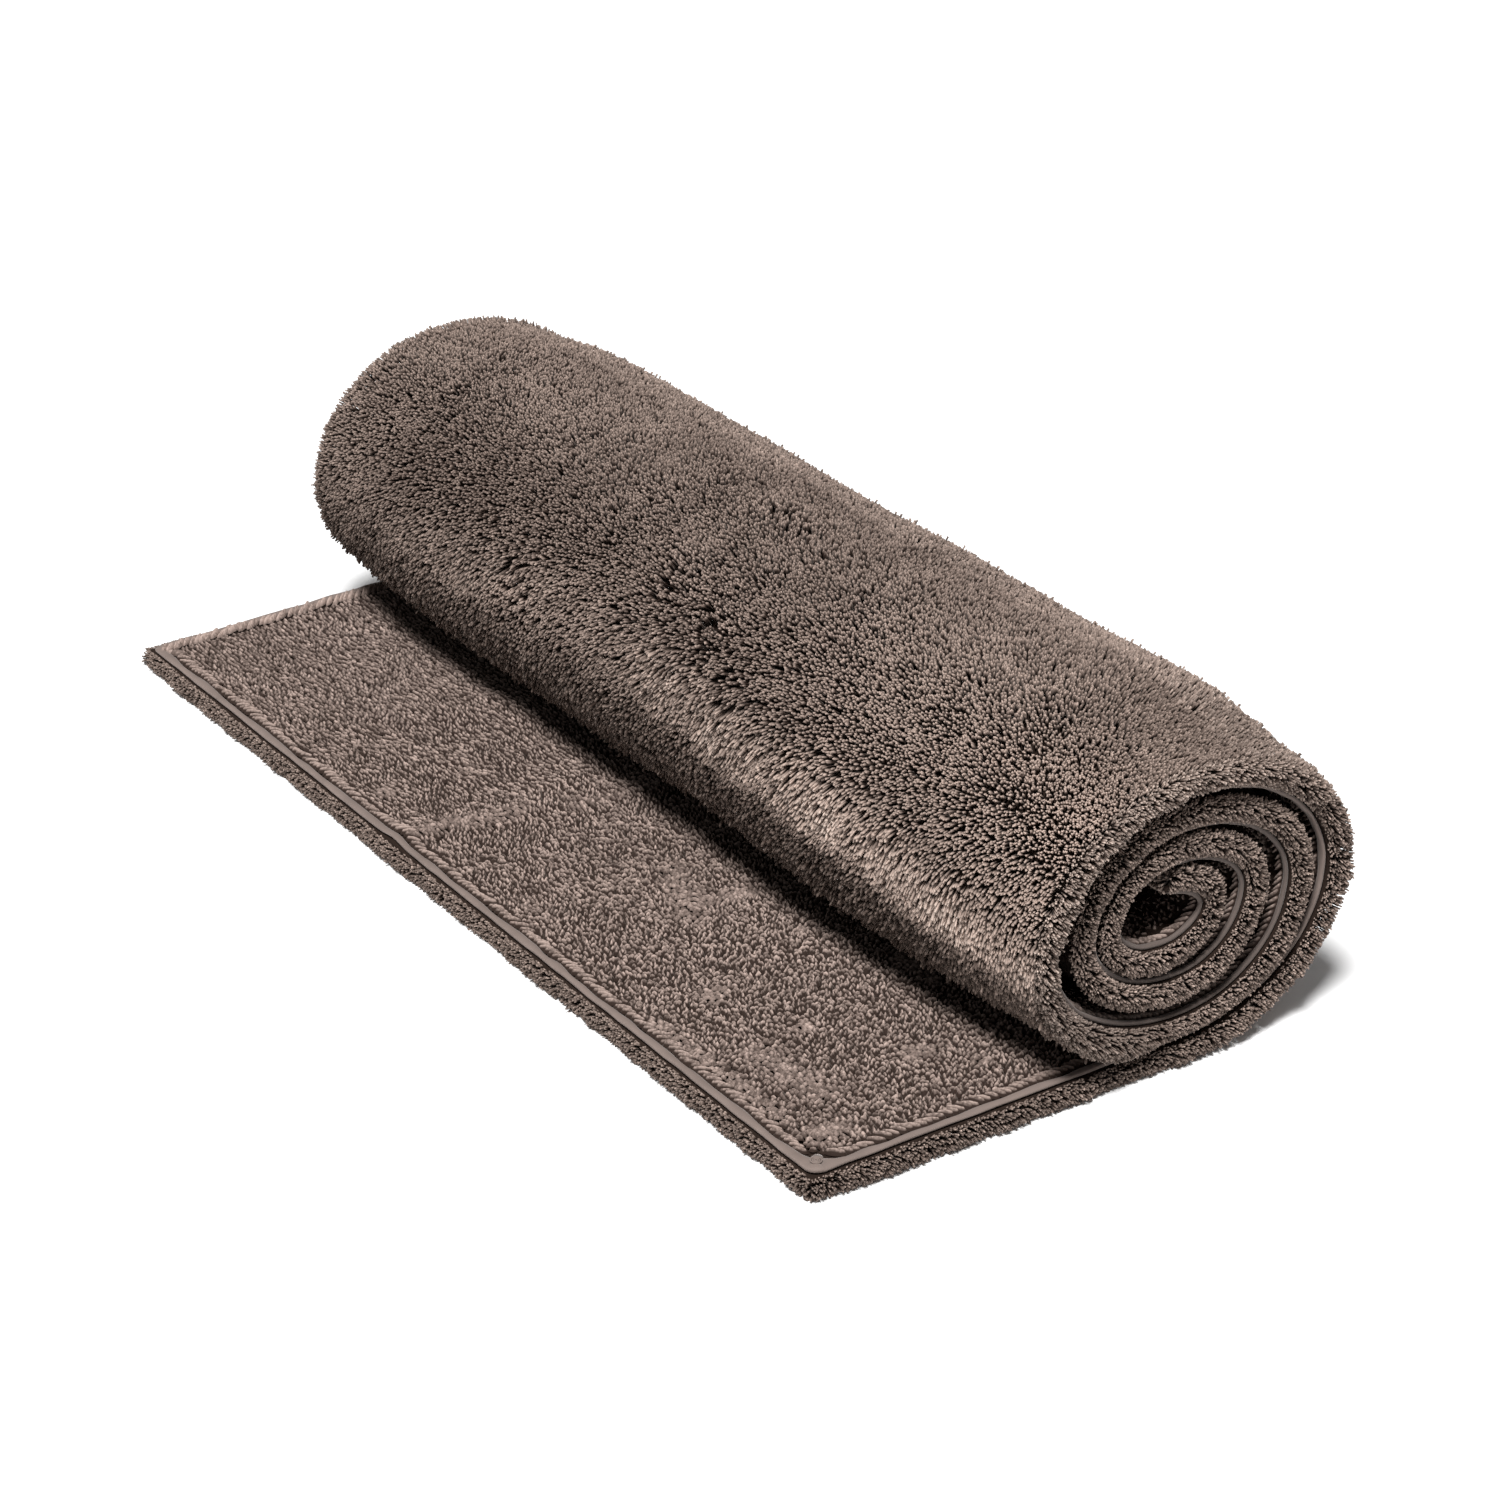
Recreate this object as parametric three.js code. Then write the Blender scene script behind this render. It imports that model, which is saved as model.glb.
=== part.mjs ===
// A long-pile cotton bath mat, rolled up from one end with its plush side out, and its free end left lying
// flat on the floor. The roll lies along Y and the flap, which is the free end, points to -X.
// Millimetres, +Z up. The origin is the middle of the whole thing, at floor level.
//
// The mat is one closed solid, worked out in cloth coordinates: a length along the cloth from its cut free
// end, a place across it, which is Y, and a height off the base cloth. Heights are positive on the short
// looped side, which is rolled inwards, and negative on the plush side. The binding is a closed band of tape
// that is sewn on the looped side, round all four edges.

import * as THREE from 'three';

const { clamp, lerp, mapLinear, smoothstep } = THREE.MathUtils;

// Cloth and pile

const matWidth = 700;          // across the cloth, which is along the roll
const clothHeight = 11;        // of the base cloth above the floor, on its pressed plush
const freePlush = 14;          // height of the plush where nothing presses it
const woundPlush = 12.5;       // the most it has inside the roll
const turnGap = 1.7;           // left between the plush and the loops of the next turn out
const loopHeight = 4.2;        // of the short loops above the base cloth
const innerLoopHeight = 3.4;   // the same near the core, where they are pressed
const bareEdge = 9;            // width along each edge that has no loops, where the binding lies
const bareTop = 0.4;           // height of the bare cloth at its inner side
const cutTop = -0.6;           // and just past the cut edge
const loopSlope = 2.5;         // width over which the loops rise beside it
const plushOverhang = 7.5;     // how far the plush stands out past the cut edge of the cloth
const overhangStep = 2.5;      // where the plush past the edge starts to round off
const rimTop = -3.5;           // heights between which free plush ends, past the edge
const rimBottom = -8;
const cornerRadius = 11;       // how far that rim is drawn in at the corners of the mat

// Binding tape

const tapeHalfWidth = 3.0;
const tapeTop = 4.0;           // height of its crown above the base cloth
const tapeFoot = 0.9;          // height of its underside
const tapeInset = 3.8;         // of its middle line, inwards from the cut edge
const tapeCorner = 4.6;        // radius of its middle line at the corners

// Unevenness

const swellHeight = 0.105;     // how much higher the roll stands in its middle than at its near end
const swellFlapSide = 0.11;    // how much further it bulges over the flap there
const swellRun = 85;           // length from the end over which it does
const farSwell = 0.55;         // share of the swelling that is left at the far end
const lumpDepth = 1.7;         // of the uneven plush on the outside of the roll
const flapWave = 1.1;          // height of the waves of the flap's looped face
const rimLock = 2.6;           // how unevenly the locks of plush stand out at the rim

// The cloth line wound up, a row for each quarter turn from under the roll on: where the line is furthest to
// that side. The roll is wider than high, and its turns lie closer together on the flap's side.
const quarterTurns = [
  { side: 'floor', x: 220.0, z: 11.0 },
  { side: 'right', x: 315.0, z: 83.0 },
  { side: 'top', x: 221.0, z: 152.0 },
  { side: 'left', x: 139.0, z: 84.0 },
  { side: 'floor', x: 222.0, z: 25.5 },
  { side: 'right', x: 290.0, z: 84.0 },
  { side: 'top', x: 220.0, z: 133.4 },
  { side: 'left', x: 163.5, z: 86.0 },
  { side: 'floor', x: 218.0, z: 49.0 },
  { side: 'right', x: 261.0, z: 88.0 },
  { side: 'top', x: 214.0, z: 116.8 },
  { side: 'left', x: 178.0, z: 89.5 },
  { side: 'floor', x: 207.0, z: 69.5 },
  { side: 'right', x: 234.5, z: 87.0 },
  { side: 'top', x: 208.0, z: 101.0 },
  { side: 'left', x: 196.0, z: 88.0 },
];
const lastQuarter = 0.55;      // share of the last quarter turn at which the mat ends, in the core

// Steps of the surface

const stepLength = 17;         // between stations round the roll, roughly
const fewestSteps = 5;         // in a quarter turn
const mostSteps = 8;
const edgeInsets = [-plushOverhang, -overhangStep, bareEdge * 0.36, bareEdge, bareEdge + loopSlope];
const flapStations = [28, 52, 78, 104, 130, 156, 182, 203];
const sideInsets = [-overhangStep, bareEdge, bareEdge + loopSlope, 40, 88, 160, 223, 287];

// The cloth line, seen from the near end of the roll: one straight along the floor and a chain of quarter
// ellipses. The middle of each takes its x from the row above or below it and its z from the row beside it.
// The line starts and ends where the longest plush does.
const rimReach = plushOverhang + rimLock;

function clothPath() {
  const path = new THREE.CurvePath();
  const start = new THREE.Vector2(-rimReach, clothHeight);
  path.add(new THREE.LineCurve(start, new THREE.Vector2(quarterTurns[0].x, clothHeight)));
  for (let i = 0; i < quarterTurns.length - 1; i++) {
    const pair = [quarterTurns[i], quarterTurns[i + 1]];
    const [flat, upright] = i % 2 === 0 ? pair : pair.reverse();
    const halfWidth = Math.abs(upright.x - flat.x);
    const halfHeight = Math.abs(flat.z - upright.z);
    const angle = ((i - 1) * Math.PI) / 2;
    const turned = (Math.PI / 2) * (i === quarterTurns.length - 2 ? lastQuarter : 1);
    path.add(new THREE.EllipseCurve(flat.x, upright.z, halfWidth, halfHeight, angle, angle + turned));
  }
  return path;
}

const path = clothPath();
const pathLength = path.getLength();
const curveEnds = path.getCurveLengths();
const clothLength = pathLength - 2 * rimReach;
const flapLength = quarterTurns[0].x;

// How far a point of the cloth line is from the turns wound outside it.
const sampleStep = 2;
const ownTurn = 100;           // length of the line just before the point, which isn't outside it
const lineSamples = path.getSpacedPoints(Math.round(pathLength / sampleStep));

function roomOutside(reached, point) {
  const outer = lineSamples.slice(0, Math.max(0, Math.floor((reached - ownTurn) / sampleStep)));
  return Math.min(...outer.map((other) => other.distanceTo(point)));
}

// A station: the cloth's point and direction at a length, the turns wound by then, and how thick both sides
// are there. The plush grows from what the floor leaves it to its free height, and inside the roll it fills
// what room there is up to the loops of the turn outside it.
function stationAt(length) {
  const reached = clamp(length + rimReach, 0, pathLength);
  const point = path.getPoint(reached / pathLength);
  const along = path.getTangent(reached / pathLength);
  const curve = Math.min(curveEnds.findIndex((end) => reached <= end + 1e-6), quarterTurns.length - 1);
  if (curve < 1) return { length, point, along, turns: 0, plush: clothHeight, loops: loopHeight };
  const share = (reached - curveEnds[curve - 1]) / (curveEnds[curve] - curveEnds[curve - 1]);
  const turns = (curve - 1 + share) / 4;
  const free = lerp(clothHeight, freePlush, smoothstep(turns, 0, 0.5));
  const loops = lerp(loopHeight, innerLoopHeight, Math.min(1, turns / 2));
  const room = roomOutside(reached, point) - loops - turnGap;
  return { length, point, along, turns, plush: Math.min(free, room, turns > 1 ? woundPlush : free), loops };
}

// The stations of the mat: close together at both cut ends, a few on the flap, and then even steps round
// each quarter turn.
function makeStations() {
  const lengths = [...edgeInsets, ...flapStations];
  for (let i = 1; i < curveEnds.length; i++) {
    const length = curveEnds[i] - curveEnds[i - 1];
    const steps = clamp(Math.round(length / stepLength), fewestSteps, mostSteps);
    for (let j = 0; j < steps; j++) lengths.push(curveEnds[i - 1] - rimReach + (length * j) / steps);
  }
  const innerEdge = edgeInsets.map((inset) => clothLength - inset).reverse();
  const wound = lengths.filter((length) => length < innerEdge[0] - 2);
  return [...wound, ...innerEdge].map(stationAt);
}

const stations = makeStations();

// 1 in the roll's middle, 0 at its near end, farSwell at its far end.
function swelling(across) {
  const near = smoothstep(across, -matWidth / 2, -matWidth / 2 + swellRun);
  const far = smoothstep(across, matWidth / 2 - swellRun, matWidth / 2);
  return near * (1 - far * (1 - farSwell));
}

// From cloth coordinates to the room. The roll swells upwards from the flap and, over the flap, sideways from
// its own middle. Nothing goes below the floor.
function place({ point, along, turns }, across, height) {
  const x = point.x - along.y * height;
  const z = point.y + along.x * height;
  const swell = turns > 0 ? swelling(across) * smoothstep(z, clothHeight, clothHeight + 30) : 0;
  const bulge = Math.min(0, x - flapLength) * swellFlapSide * swell;
  const rise = Math.max(0, z - clothHeight) * swellHeight * swell;
  return new THREE.Vector3(x + bulge, across, Math.max(0, z + rise));
}

// Slow unevenness over the cloth, about -1 to 1: three crossing waves.
function lump(length, across) {
  const broad = 0.5 * Math.sin(length / 37 + across / 61);
  const slanted = 0.3 * Math.sin(length / 23 - across / 43 + 1.3);
  return broad + slanted + 0.3 * Math.sin(across / 29 + length / 90);
}

// Where the plush is open to the air: from beside the roll's foot round to above the flap.
function outside(turns) {
  return smoothstep(turns, 0.08, 0.2) * (1 - smoothstep(turns, 0.8, 0.93));
}

// Height of the looped face at an inset from the nearest cut edge: up on the loops, down on the bare edge,
// and past the cut edge along the top of the plush that stands out there.
function loopedFace(inset, { loops, plush }) {
  if (inset >= bareEdge + loopSlope) return loops;
  if (inset >= bareEdge) return bareTop;
  if (inset <= -plushOverhang) return (rimTop * plush) / freePlush;
  return mapLinear(inset, bareEdge, -overhangStep, bareTop, cutTop);
}

// Height of the plush face, rounded off towards the rim.
function plushFace(inset, { plush }) {
  const share = clamp((inset + plushOverhang) / (plushOverhang + bareEdge), 0, 1);
  const round = Math.sqrt(1 - (1 - share) ** 2);
  return lerp((rimBottom * plush) / freePlush, -plush, round);
}

// The soft waves of the flap's looped face, which die out at its edges and under the roll.
function flapWaves(length, across, inset) {
  const free = smoothstep(inset, 12, 40) * smoothstep(flapLength - 15 - length, 0, 30);
  return flapWave * free * lump(length * 1.4, across);
}

function heightAt({ length, turns, plush, loops }, { face, across }, inset) {
  if (face === 'rim') return ((rimTop + rimBottom) / 2) * (plush / freePlush);
  const waves = turns === 0 ? flapWaves(length, across, inset) : 0;
  if (face === 'looped') return loopedFace(inset, { loops, plush }) + waves;
  if (turns === 0 && inset > 0) return -clothHeight;
  return plushFace(inset, { plush }) - outside(turns) * lumpDepth * lump(length, across);
}

// The columns of the mat's section: the looped face from the far edge to the near one, the near rim, the
// plush face back over the same places, and the far rim.
function makeColumns() {
  const half = sideInsets.map((inset) => matWidth / 2 - inset);
  const places = [...half, 0, ...half.map((across) => -across).reverse()];
  const looped = places.map((across) => ({ face: 'looped', across }));
  const plush = places.map((across) => ({ face: 'plush', across })).reverse();
  const rim = matWidth / 2 + plushOverhang;
  return [...looped, { face: 'rim', across: -rim }, ...plush, { face: 'rim', across: rim }];
}

// How far the rim is drawn in towards a corner of the mat.
function cornerDraw(endInset) {
  const near = clamp(endInset, -plushOverhang, bareEdge);
  return mapLinear(near, bareEdge, -plushOverhang, 0, cornerRadius);
}

// How far a lock of plush stands out at the side rim of a station, and at the free end.
function sideLock(i, side) {
  return rimLock * (0.6 * Math.sin(i * 2.4 + side) + 0.4 * Math.sin(i * 5.3));
}

function endLock(across) {
  return rimLock * Math.sin(across / 17);
}

function matPoint(station, i, column) {
  const endInset = Math.min(station.length, clothLength - station.length);
  const sideInset = matWidth / 2 - Math.abs(column.across);
  const side = Math.sign(column.across);
  const drawn = Math.max(0, cornerDraw(endInset) - Math.max(0, sideInset));
  const lock = column.face === 'rim' ? sideLock(i, side) : 0;
  const stood = i === 0 ? stationAt(station.length + endLock(column.across)) : station;
  const height = heightAt(station, column, Math.min(endInset, sideInset));
  return place(stood, column.across + side * (lock - drawn), height);
}

// The triangles of a tube of rings, each joined to the next, and the last to the first where it is closed.
function tubeTriangles(ringCount, width, closed) {
  const index = [];
  const joins = closed ? ringCount : ringCount - 1;
  for (let i = 0; i < joins; i++) {
    const here = i * width;
    const next = ((i + 1) % ringCount) * width;
    for (let j = 0; j < width; j++) {
      const k = (j + 1) % width;
      index.push(here + j, here + k, next + j, here + k, next + k, next + j);
    }
  }
  return index;
}

// The triangles that close the mat's section at one end, in strips between the looped face and the plush
// face below it, and a triangle at either rim.
function capTriangles(first, width, turned) {
  const index = [];
  const add = (a, b, c) => index.push(...(turned ? [a, b, c] : [a, c, b]).map((corner) => first + corner));
  const rim = width / 2 - 1;
  for (let j = 0; j < rim - 1; j++) {
    const below = width - 2 - j;
    add(j, j + 1, below);
    add(j + 1, below - 1, below);
  }
  add(rim - 1, rim, rim + 1);
  add(width - 2, width - 1, 0);
  return index;
}

function closedGeometry(rings, index) {
  const positions = rings.flat().flatMap((corner) => corner.toArray());
  const geometry = new THREE.BufferGeometry();
  geometry.setAttribute('position', new THREE.Float32BufferAttribute(positions, 3));
  geometry.setIndex(index);
  geometry.computeVertexNormals();
  return geometry;
}

function matGeometry() {
  const columns = makeColumns();
  const rings = stations.map((station, i) => columns.map((column) => matPoint(station, i, column)));
  const width = columns.length;
  const last = (rings.length - 1) * width;
  return closedGeometry(rings, [
    ...tubeTriangles(rings.length, width, false),
    ...capTriangles(0, width, false),
    ...capTriangles(last, width, true),
  ]);
}

// The binding's section: how far outwards from its middle, and its height, with a flat foot and round crown.
const tapeMiddle = (tapeFoot + tapeTop) / 2;
const tapeSection = [
  { out: -tapeHalfWidth * 0.85, height: tapeFoot },
  { out: -tapeHalfWidth, height: tapeMiddle },
  { out: -tapeHalfWidth * 0.55, height: tapeTop },
  { out: tapeHalfWidth * 0.55, height: tapeTop },
  { out: tapeHalfWidth, height: tapeMiddle },
  { out: tapeHalfWidth * 0.85, height: tapeFoot },
];

// A stop of the binding: a length along the cloth, a place across it, and which way is outwards.
const stop = (length, across, outLength, outAcross) => ({ length, across, outLength, outAcross });

// The stop in the middle of a round corner.
function cornerStop(length, across, outLength, outAcross) {
  const cut = tapeCorner * (1 - Math.SQRT1_2);
  const slant = Math.SQRT1_2;
  return stop(length - outLength * cut, across - outAcross * cut, outLength * slant, outAcross * slant);
}

// The stops on its way round the mat: along the near side, the core end, the far side and the free end.
function tapeStops() {
  const side = matWidth / 2 - tapeInset;
  const first = tapeInset;
  const last = clothLength - tapeInset;
  const clear = tapeCorner + tapeHalfWidth;
  const between = ({ length }) => length > first + clear && length < last - clear;
  const lengths = stations.filter(between).map((station) => station.length);
  const along = [first + tapeCorner, ...lengths, last - tapeCorner];
  const half = [side - tapeCorner, side * 0.66, side * 0.33];
  const across = [...half, 0, ...half.map((at) => -at).reverse()];
  return [
    ...along.map((at) => stop(at, -side, 0, -1)),
    cornerStop(last, -side, 1, -1),
    ...across.map((at) => stop(last, -at, 1, 0)),
    cornerStop(last, side, 1, 1),
    ...along.map((at) => stop(at, side, 0, 1)).reverse(),
    cornerStop(first, side, -1, 1),
    ...across.map((at) => stop(first, at, -1, 0)),
    cornerStop(first, -side, -1, -1),
  ];
}

function bindingGeometry() {
  const rings = tapeStops().map(({ length, across, outLength, outAcross }) =>
    tapeSection.map(({ out, height }) =>
      place(stationAt(length + out * outLength), across + out * outAcross, height)));
  return closedGeometry(rings, tubeTriangles(rings.length, tapeSection.length, true));
}

const plushCotton = new THREE.MeshStandardMaterial({ color: 0x6e6057, roughness: 0.95, metalness: 0 });
const tapeCotton = new THREE.MeshStandardMaterial({ color: 0x83766d, roughness: 0.85, metalness: 0 });

const mat = new THREE.Mesh(matGeometry(), plushCotton);
mat.name = 'mat';

const binding = new THREE.Mesh(bindingGeometry(), tapeCotton);
binding.name = 'binding';

const rolledMat = new THREE.Group();
rolledMat.name = 'rolled_bath_mat';
rolledMat.add(mat, binding);

// The group is moved so that the origin is at the middle of its underside.
const box = new THREE.Box3().setFromObject(rolledMat);
const middle = box.getCenter(new THREE.Vector3());
rolledMat.position.set(-middle.x, -middle.y, -box.min.z);

export default rolledMat;
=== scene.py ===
# A long-pile cotton bath mat, rolled up from one end with its plush side out, and its free end left lying
# flat on the floor. Metres. The mat is worked out in cloth coordinates: a length along it from its free
# end, a place across it, and a height off the base cloth, above 0 on the looped side and below on the plush.

import math

import bpy
import numpy as np
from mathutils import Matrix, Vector


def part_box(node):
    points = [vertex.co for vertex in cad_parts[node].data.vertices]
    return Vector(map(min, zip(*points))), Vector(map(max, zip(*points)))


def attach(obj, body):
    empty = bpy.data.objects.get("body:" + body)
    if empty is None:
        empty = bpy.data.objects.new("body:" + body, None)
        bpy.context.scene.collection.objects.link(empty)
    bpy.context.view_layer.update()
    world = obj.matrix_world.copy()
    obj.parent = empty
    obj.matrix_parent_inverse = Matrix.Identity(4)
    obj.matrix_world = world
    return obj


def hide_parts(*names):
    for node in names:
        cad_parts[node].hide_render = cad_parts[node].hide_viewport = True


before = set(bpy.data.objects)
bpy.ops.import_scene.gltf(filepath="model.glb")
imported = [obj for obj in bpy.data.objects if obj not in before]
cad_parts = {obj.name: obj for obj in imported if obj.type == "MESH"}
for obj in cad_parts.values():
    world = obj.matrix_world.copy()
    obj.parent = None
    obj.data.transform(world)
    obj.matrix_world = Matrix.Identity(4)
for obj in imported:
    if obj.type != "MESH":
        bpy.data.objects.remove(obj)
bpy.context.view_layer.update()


# The rows of a table as dictionaries. The first argument names its columns.
def table(columns, *entries):
    return [dict(zip(columns.split(), entry)) for entry in entries]


cloth = {
    "width": 0.700,         # across, which is along the roll
    "baseHeight": 0.011,    # of the base cloth above the floor, on its pressed plush
    "freePlush": 0.014,     # height of the plush where nothing presses it
    "woundPlush": 0.0125,   # the most it has inside the roll
    "turnGap": 0.0017,      # left between the plush and the loops of the next turn out
    "loops": 0.0042,        # height of the short loops
    "innerLoops": 0.0034,   # the same near the core, where they are pressed
    "bareEdge": 0.009,      # width along each edge that has no loops, where the binding lies
    "overhang": 0.0075,     # how far the plush stands out past the cut edge
    "longestLock": 0.0026,  # how much further its longest locks do
    "overFlap": (0.6, 1.02),    # turns that may hang over the flap
    "pressed": 0.8,         # share of the loops' height that is left under them
}

# The cloth line wound up, a row for each quarter turn: where it is furthest to that side.
quarterTurns = table(
    "side x z",
    ("floor", 0.2200, 0.0110),
    ("right", 0.3150, 0.0830),
    ("top", 0.2210, 0.1520),
    ("left", 0.1390, 0.0840),
    ("floor", 0.2220, 0.0255),
    ("right", 0.2900, 0.0840),
    ("top", 0.2200, 0.1334),
    ("left", 0.1635, 0.0860),
    ("floor", 0.2180, 0.0490),
    ("right", 0.2610, 0.0880),
    ("top", 0.2140, 0.1168),
    ("left", 0.1780, 0.0895),
    ("floor", 0.2070, 0.0695),
    ("right", 0.2345, 0.0870),
    ("top", 0.2080, 0.1010),
    ("left", 0.1960, 0.0880),
)
lastQuarter = 0.55          # share of the last quarter turn at which the mat ends, in the core
flapLength = quarterTurns[0]["x"]
halfWidth = cloth["width"] / 2
lineStart = cloth["overhang"] + cloth["longestLock"]

swell = {
    "height": 0.105,        # how much higher the roll stands in its middle than at its near end
    "flapSide": 0.11,       # how much further it bulges over the flap there
    "run": 0.085,           # length from the end over which it does
    "farShare": 0.55,       # share of it that is left at the far end
    "rise": 0.030,          # height above the floor over which it sets in
}


# 0 up to low, 1 from high on, and smooth between.
def rising(value, low, high):
    share = np.clip((value - low) / (high - low), 0, 1)
    return share * share * (3 - 2 * share)


# 0 outside a range and 1 inside it: rises from low to full, and falls again from ebb to high.
def within(value, low, full, ebb, high):
    return rising(value, low, full) * (1 - rising(value, ebb, high))


# Between first and second by share.
def between(first, second, share):
    return first + (second - first) * share


# Smooth unevenness, -1 to 1: random numbers on a square grid of cells, joined by smooth steps.
def drift(first, second, cell, seed):
    rows, columns = 97, 89
    lattice = np.random.default_rng(seed).uniform(-1, 1, (rows, columns))
    u, v = first / cell, second / cell
    i, j = np.floor(u).astype(int), np.floor(v).astype(int)
    s, t = rising(u - i, 0, 1), rising(v - j, 0, 1)
    here = between(lattice[i % rows, j % columns], lattice[(i + 1) % rows, j % columns], s)
    there = between(lattice[i % rows, (j + 1) % columns], lattice[(i + 1) % rows, (j + 1) % columns], s)
    return between(here, there, t)


# The cloth line as a table every half millimetre: a straight along the floor, then quarter ellipses. The
# middle of each takes its x from the row above or below it and its z from the row beside it. The plush
# grows to its free height under the roll, and inside it fills the room up to the loops of the next turn out.
def clothLine():
    fine, step = 400, 0.0005
    ownTurn = 0.100     # what is nearer than this along the cloth isn't another turn
    xs = [np.linspace(-lineStart, flapLength, fine)]
    zs = [np.full(fine, cloth["baseHeight"])]
    for i, (first, second) in enumerate(zip(quarterTurns, quarterTurns[1:])):
        flat, upright = (first, second) if i % 2 == 0 else (second, first)
        turned = math.pi / 2 * (lastQuarter if i == len(quarterTurns) - 2 else 1)
        angle = (i - 1) * math.pi / 2 + np.linspace(0, turned, fine)[1:]
        xs.append(flat["x"] + abs(upright["x"] - flat["x"]) * np.cos(angle))
        zs.append(upright["z"] + abs(flat["z"] - upright["z"]) * np.sin(angle))
    ends = np.cumsum([len(x) for x in xs]) - 1
    x, z = np.concatenate(xs), np.concatenate(zs)
    reached = np.concatenate([[0], np.cumsum(np.hypot(np.diff(x), np.diff(z)))])
    even = np.arange(0, reached[-1], step)
    line = {"reached": even, "x": np.interp(even, reached, x), "z": np.interp(even, reached, z)}
    line["turns"] = np.interp(even, reached[ends], np.arange(len(ends)) / 4)
    slopes = np.gradient(line["x"]), np.gradient(line["z"])
    line["dx"], line["dz"] = (slope / np.hypot(*slopes) for slope in slopes)
    line["loops"] = between(cloth["loops"], cloth["innerLoops"], np.minimum(1, line["turns"] / 2))
    free = between(cloth["baseHeight"], cloth["freePlush"], rising(line["turns"], 0, 0.5))
    some = slice(0, None, 8)
    apart = np.hypot(line["x"][:, None] - line["x"][None, some], line["z"][:, None] - line["z"][None, some])
    apart[even[:, None] - even[None, some] < ownTurn] = np.inf
    room = apart.min(axis=1) - line["loops"] - cloth["turnGap"]
    most = np.where(line["turns"] > 1, cloth["woundPlush"], free)
    line["plush"] = np.minimum(np.minimum(free, room), most)
    return line


line = clothLine()
clothLength = line["reached"][-1] - 2 * lineStart
print("cloth line", round(clothLength, 4), "long, turns", round(float(line["turns"][-1]), 2))

# The CAD's tape lies this far in from the free end, which is where cloth coordinates start.
tapeLow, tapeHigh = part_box("binding")
tapeInset, tapeHalfWidth = 0.0038, 0.0030
origin = np.array([tapeLow.x - (tapeInset - tapeHalfWidth), (tapeLow.y + tapeHigh.y) / 2, 0])


# The cloth line's values at a length, carried straight on past both ends.
def lineAt(length):
    reached = np.asarray(length, float) + lineStart
    inside = np.clip(reached, 0, line["reached"][-1])
    found = {key: np.interp(inside, line["reached"], line[key]) for key in line if key != "reached"}
    found["x"] = found["x"] + found["dx"] * (reached - inside)
    found["z"] = found["z"] + found["dz"] * (reached - inside)
    return found


# How much of the swelling there is at a place across, 0 at the near end and less at the far one.
def swelling(across):
    near = rising(across, -halfWidth, -halfWidth + swell["run"])
    far = rising(across, halfWidth - swell["run"], halfWidth)
    return near * (1 - far * (1 - swell["farShare"]))


# From cloth coordinates to the room: along the line's normal by height, then swollen upwards from the flap
# and, over the flap, sideways. Nothing goes below the floor, and what hangs over the flap rests on it.
def place(length, across, height, clear=0.0):
    at = lineAt(length)
    x = at["x"] - at["dz"] * height
    z = at["z"] + at["dx"] * height
    share = np.where(at["turns"] > 0, swelling(across), 0)
    share = share * rising(z, cloth["baseHeight"], cloth["baseHeight"] + swell["rise"])
    x = x + np.minimum(0, x - flapLength) * swell["flapSide"] * share
    z = z + np.maximum(0, z - cloth["baseHeight"]) * swell["height"] * share
    onFlap = cloth["baseHeight"] + cloth["loops"] * cloth["pressed"]
    first, last = cloth["overFlap"]
    floor = np.where((at["turns"] > first) & (at["turns"] < last) & (x < flapLength), onFlap, 0)
    return np.stack([x, across + 0 * x, np.maximum(floor + clear, z)], -1) + origin


# The uneven plush on the outside of the roll, about -1 to 1: three crossing waves, as in the solid.
def lump(length, across):
    broad = 0.5 * np.sin(length / 0.037 + across / 0.061)
    slanted = 0.3 * np.sin(length / 0.023 - across / 0.043 + 1.3)
    return broad + slanted + 0.3 * np.sin(across / 0.029 + length / 0.090)


# 1 on the outside of the roll, and 0 under it and inside it.
def outside(turns):
    return within(turns, 0.08, 0.2, 0.8, 0.93)


# The soft waves of the flap's looped face, with the crease that runs in from the free end. Each row is a
# crest: where it starts and ends, how wide and how high it is.
flapCreases = table(
    "length across toLength toAcross width rise",
    (0.000, 0.052, 0.080, 0.042, 0.010, 0.0022),
    (0.080, 0.042, 0.150, 0.022, 0.013, 0.0016),
    (0.030, 0.215, 0.140, 0.150, 0.016, 0.0010),
    (0.015, -0.150, 0.120, -0.190, 0.014, -0.0012),
)


# How near a point is to a row's line, 1 on it and falling off as a bell curve over its width.
def nearness(length, across, row):
    start = np.array([row["length"], row["across"]])
    run = np.array([row["toLength"], row["toAcross"]]) - start
    share = ((length - start[0]) * run[0] + (across - start[1]) * run[1]) / (run @ run)
    share = np.clip(share, 0, 1)
    off = np.hypot(length - start[0] - share * run[0], across - start[1] - share * run[1])
    return np.exp(-((off / row["width"]) ** 2))


# The flap's waves: the lumps of the roll made longer, a rise at its far rim, and the creases.
def flapWaves(length, across):
    inset = np.minimum(length, halfWidth - np.abs(across))
    free = rising(inset, 0.012, 0.040) * rising(flapLength - 0.015 - length, 0, 0.030)
    waves = 0.0011 * free * lump(length * 1.4, across)
    waves = waves + 0.0034 * rising(across, 0.290, 0.350) * rising(length, 0.020, 0.170)
    onFlap = rising(flapLength - 0.030 - length, 0, 0.030)
    return waves + sum(row["rise"] * nearness(length, across, row) * onFlap for row in flapCreases)


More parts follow.
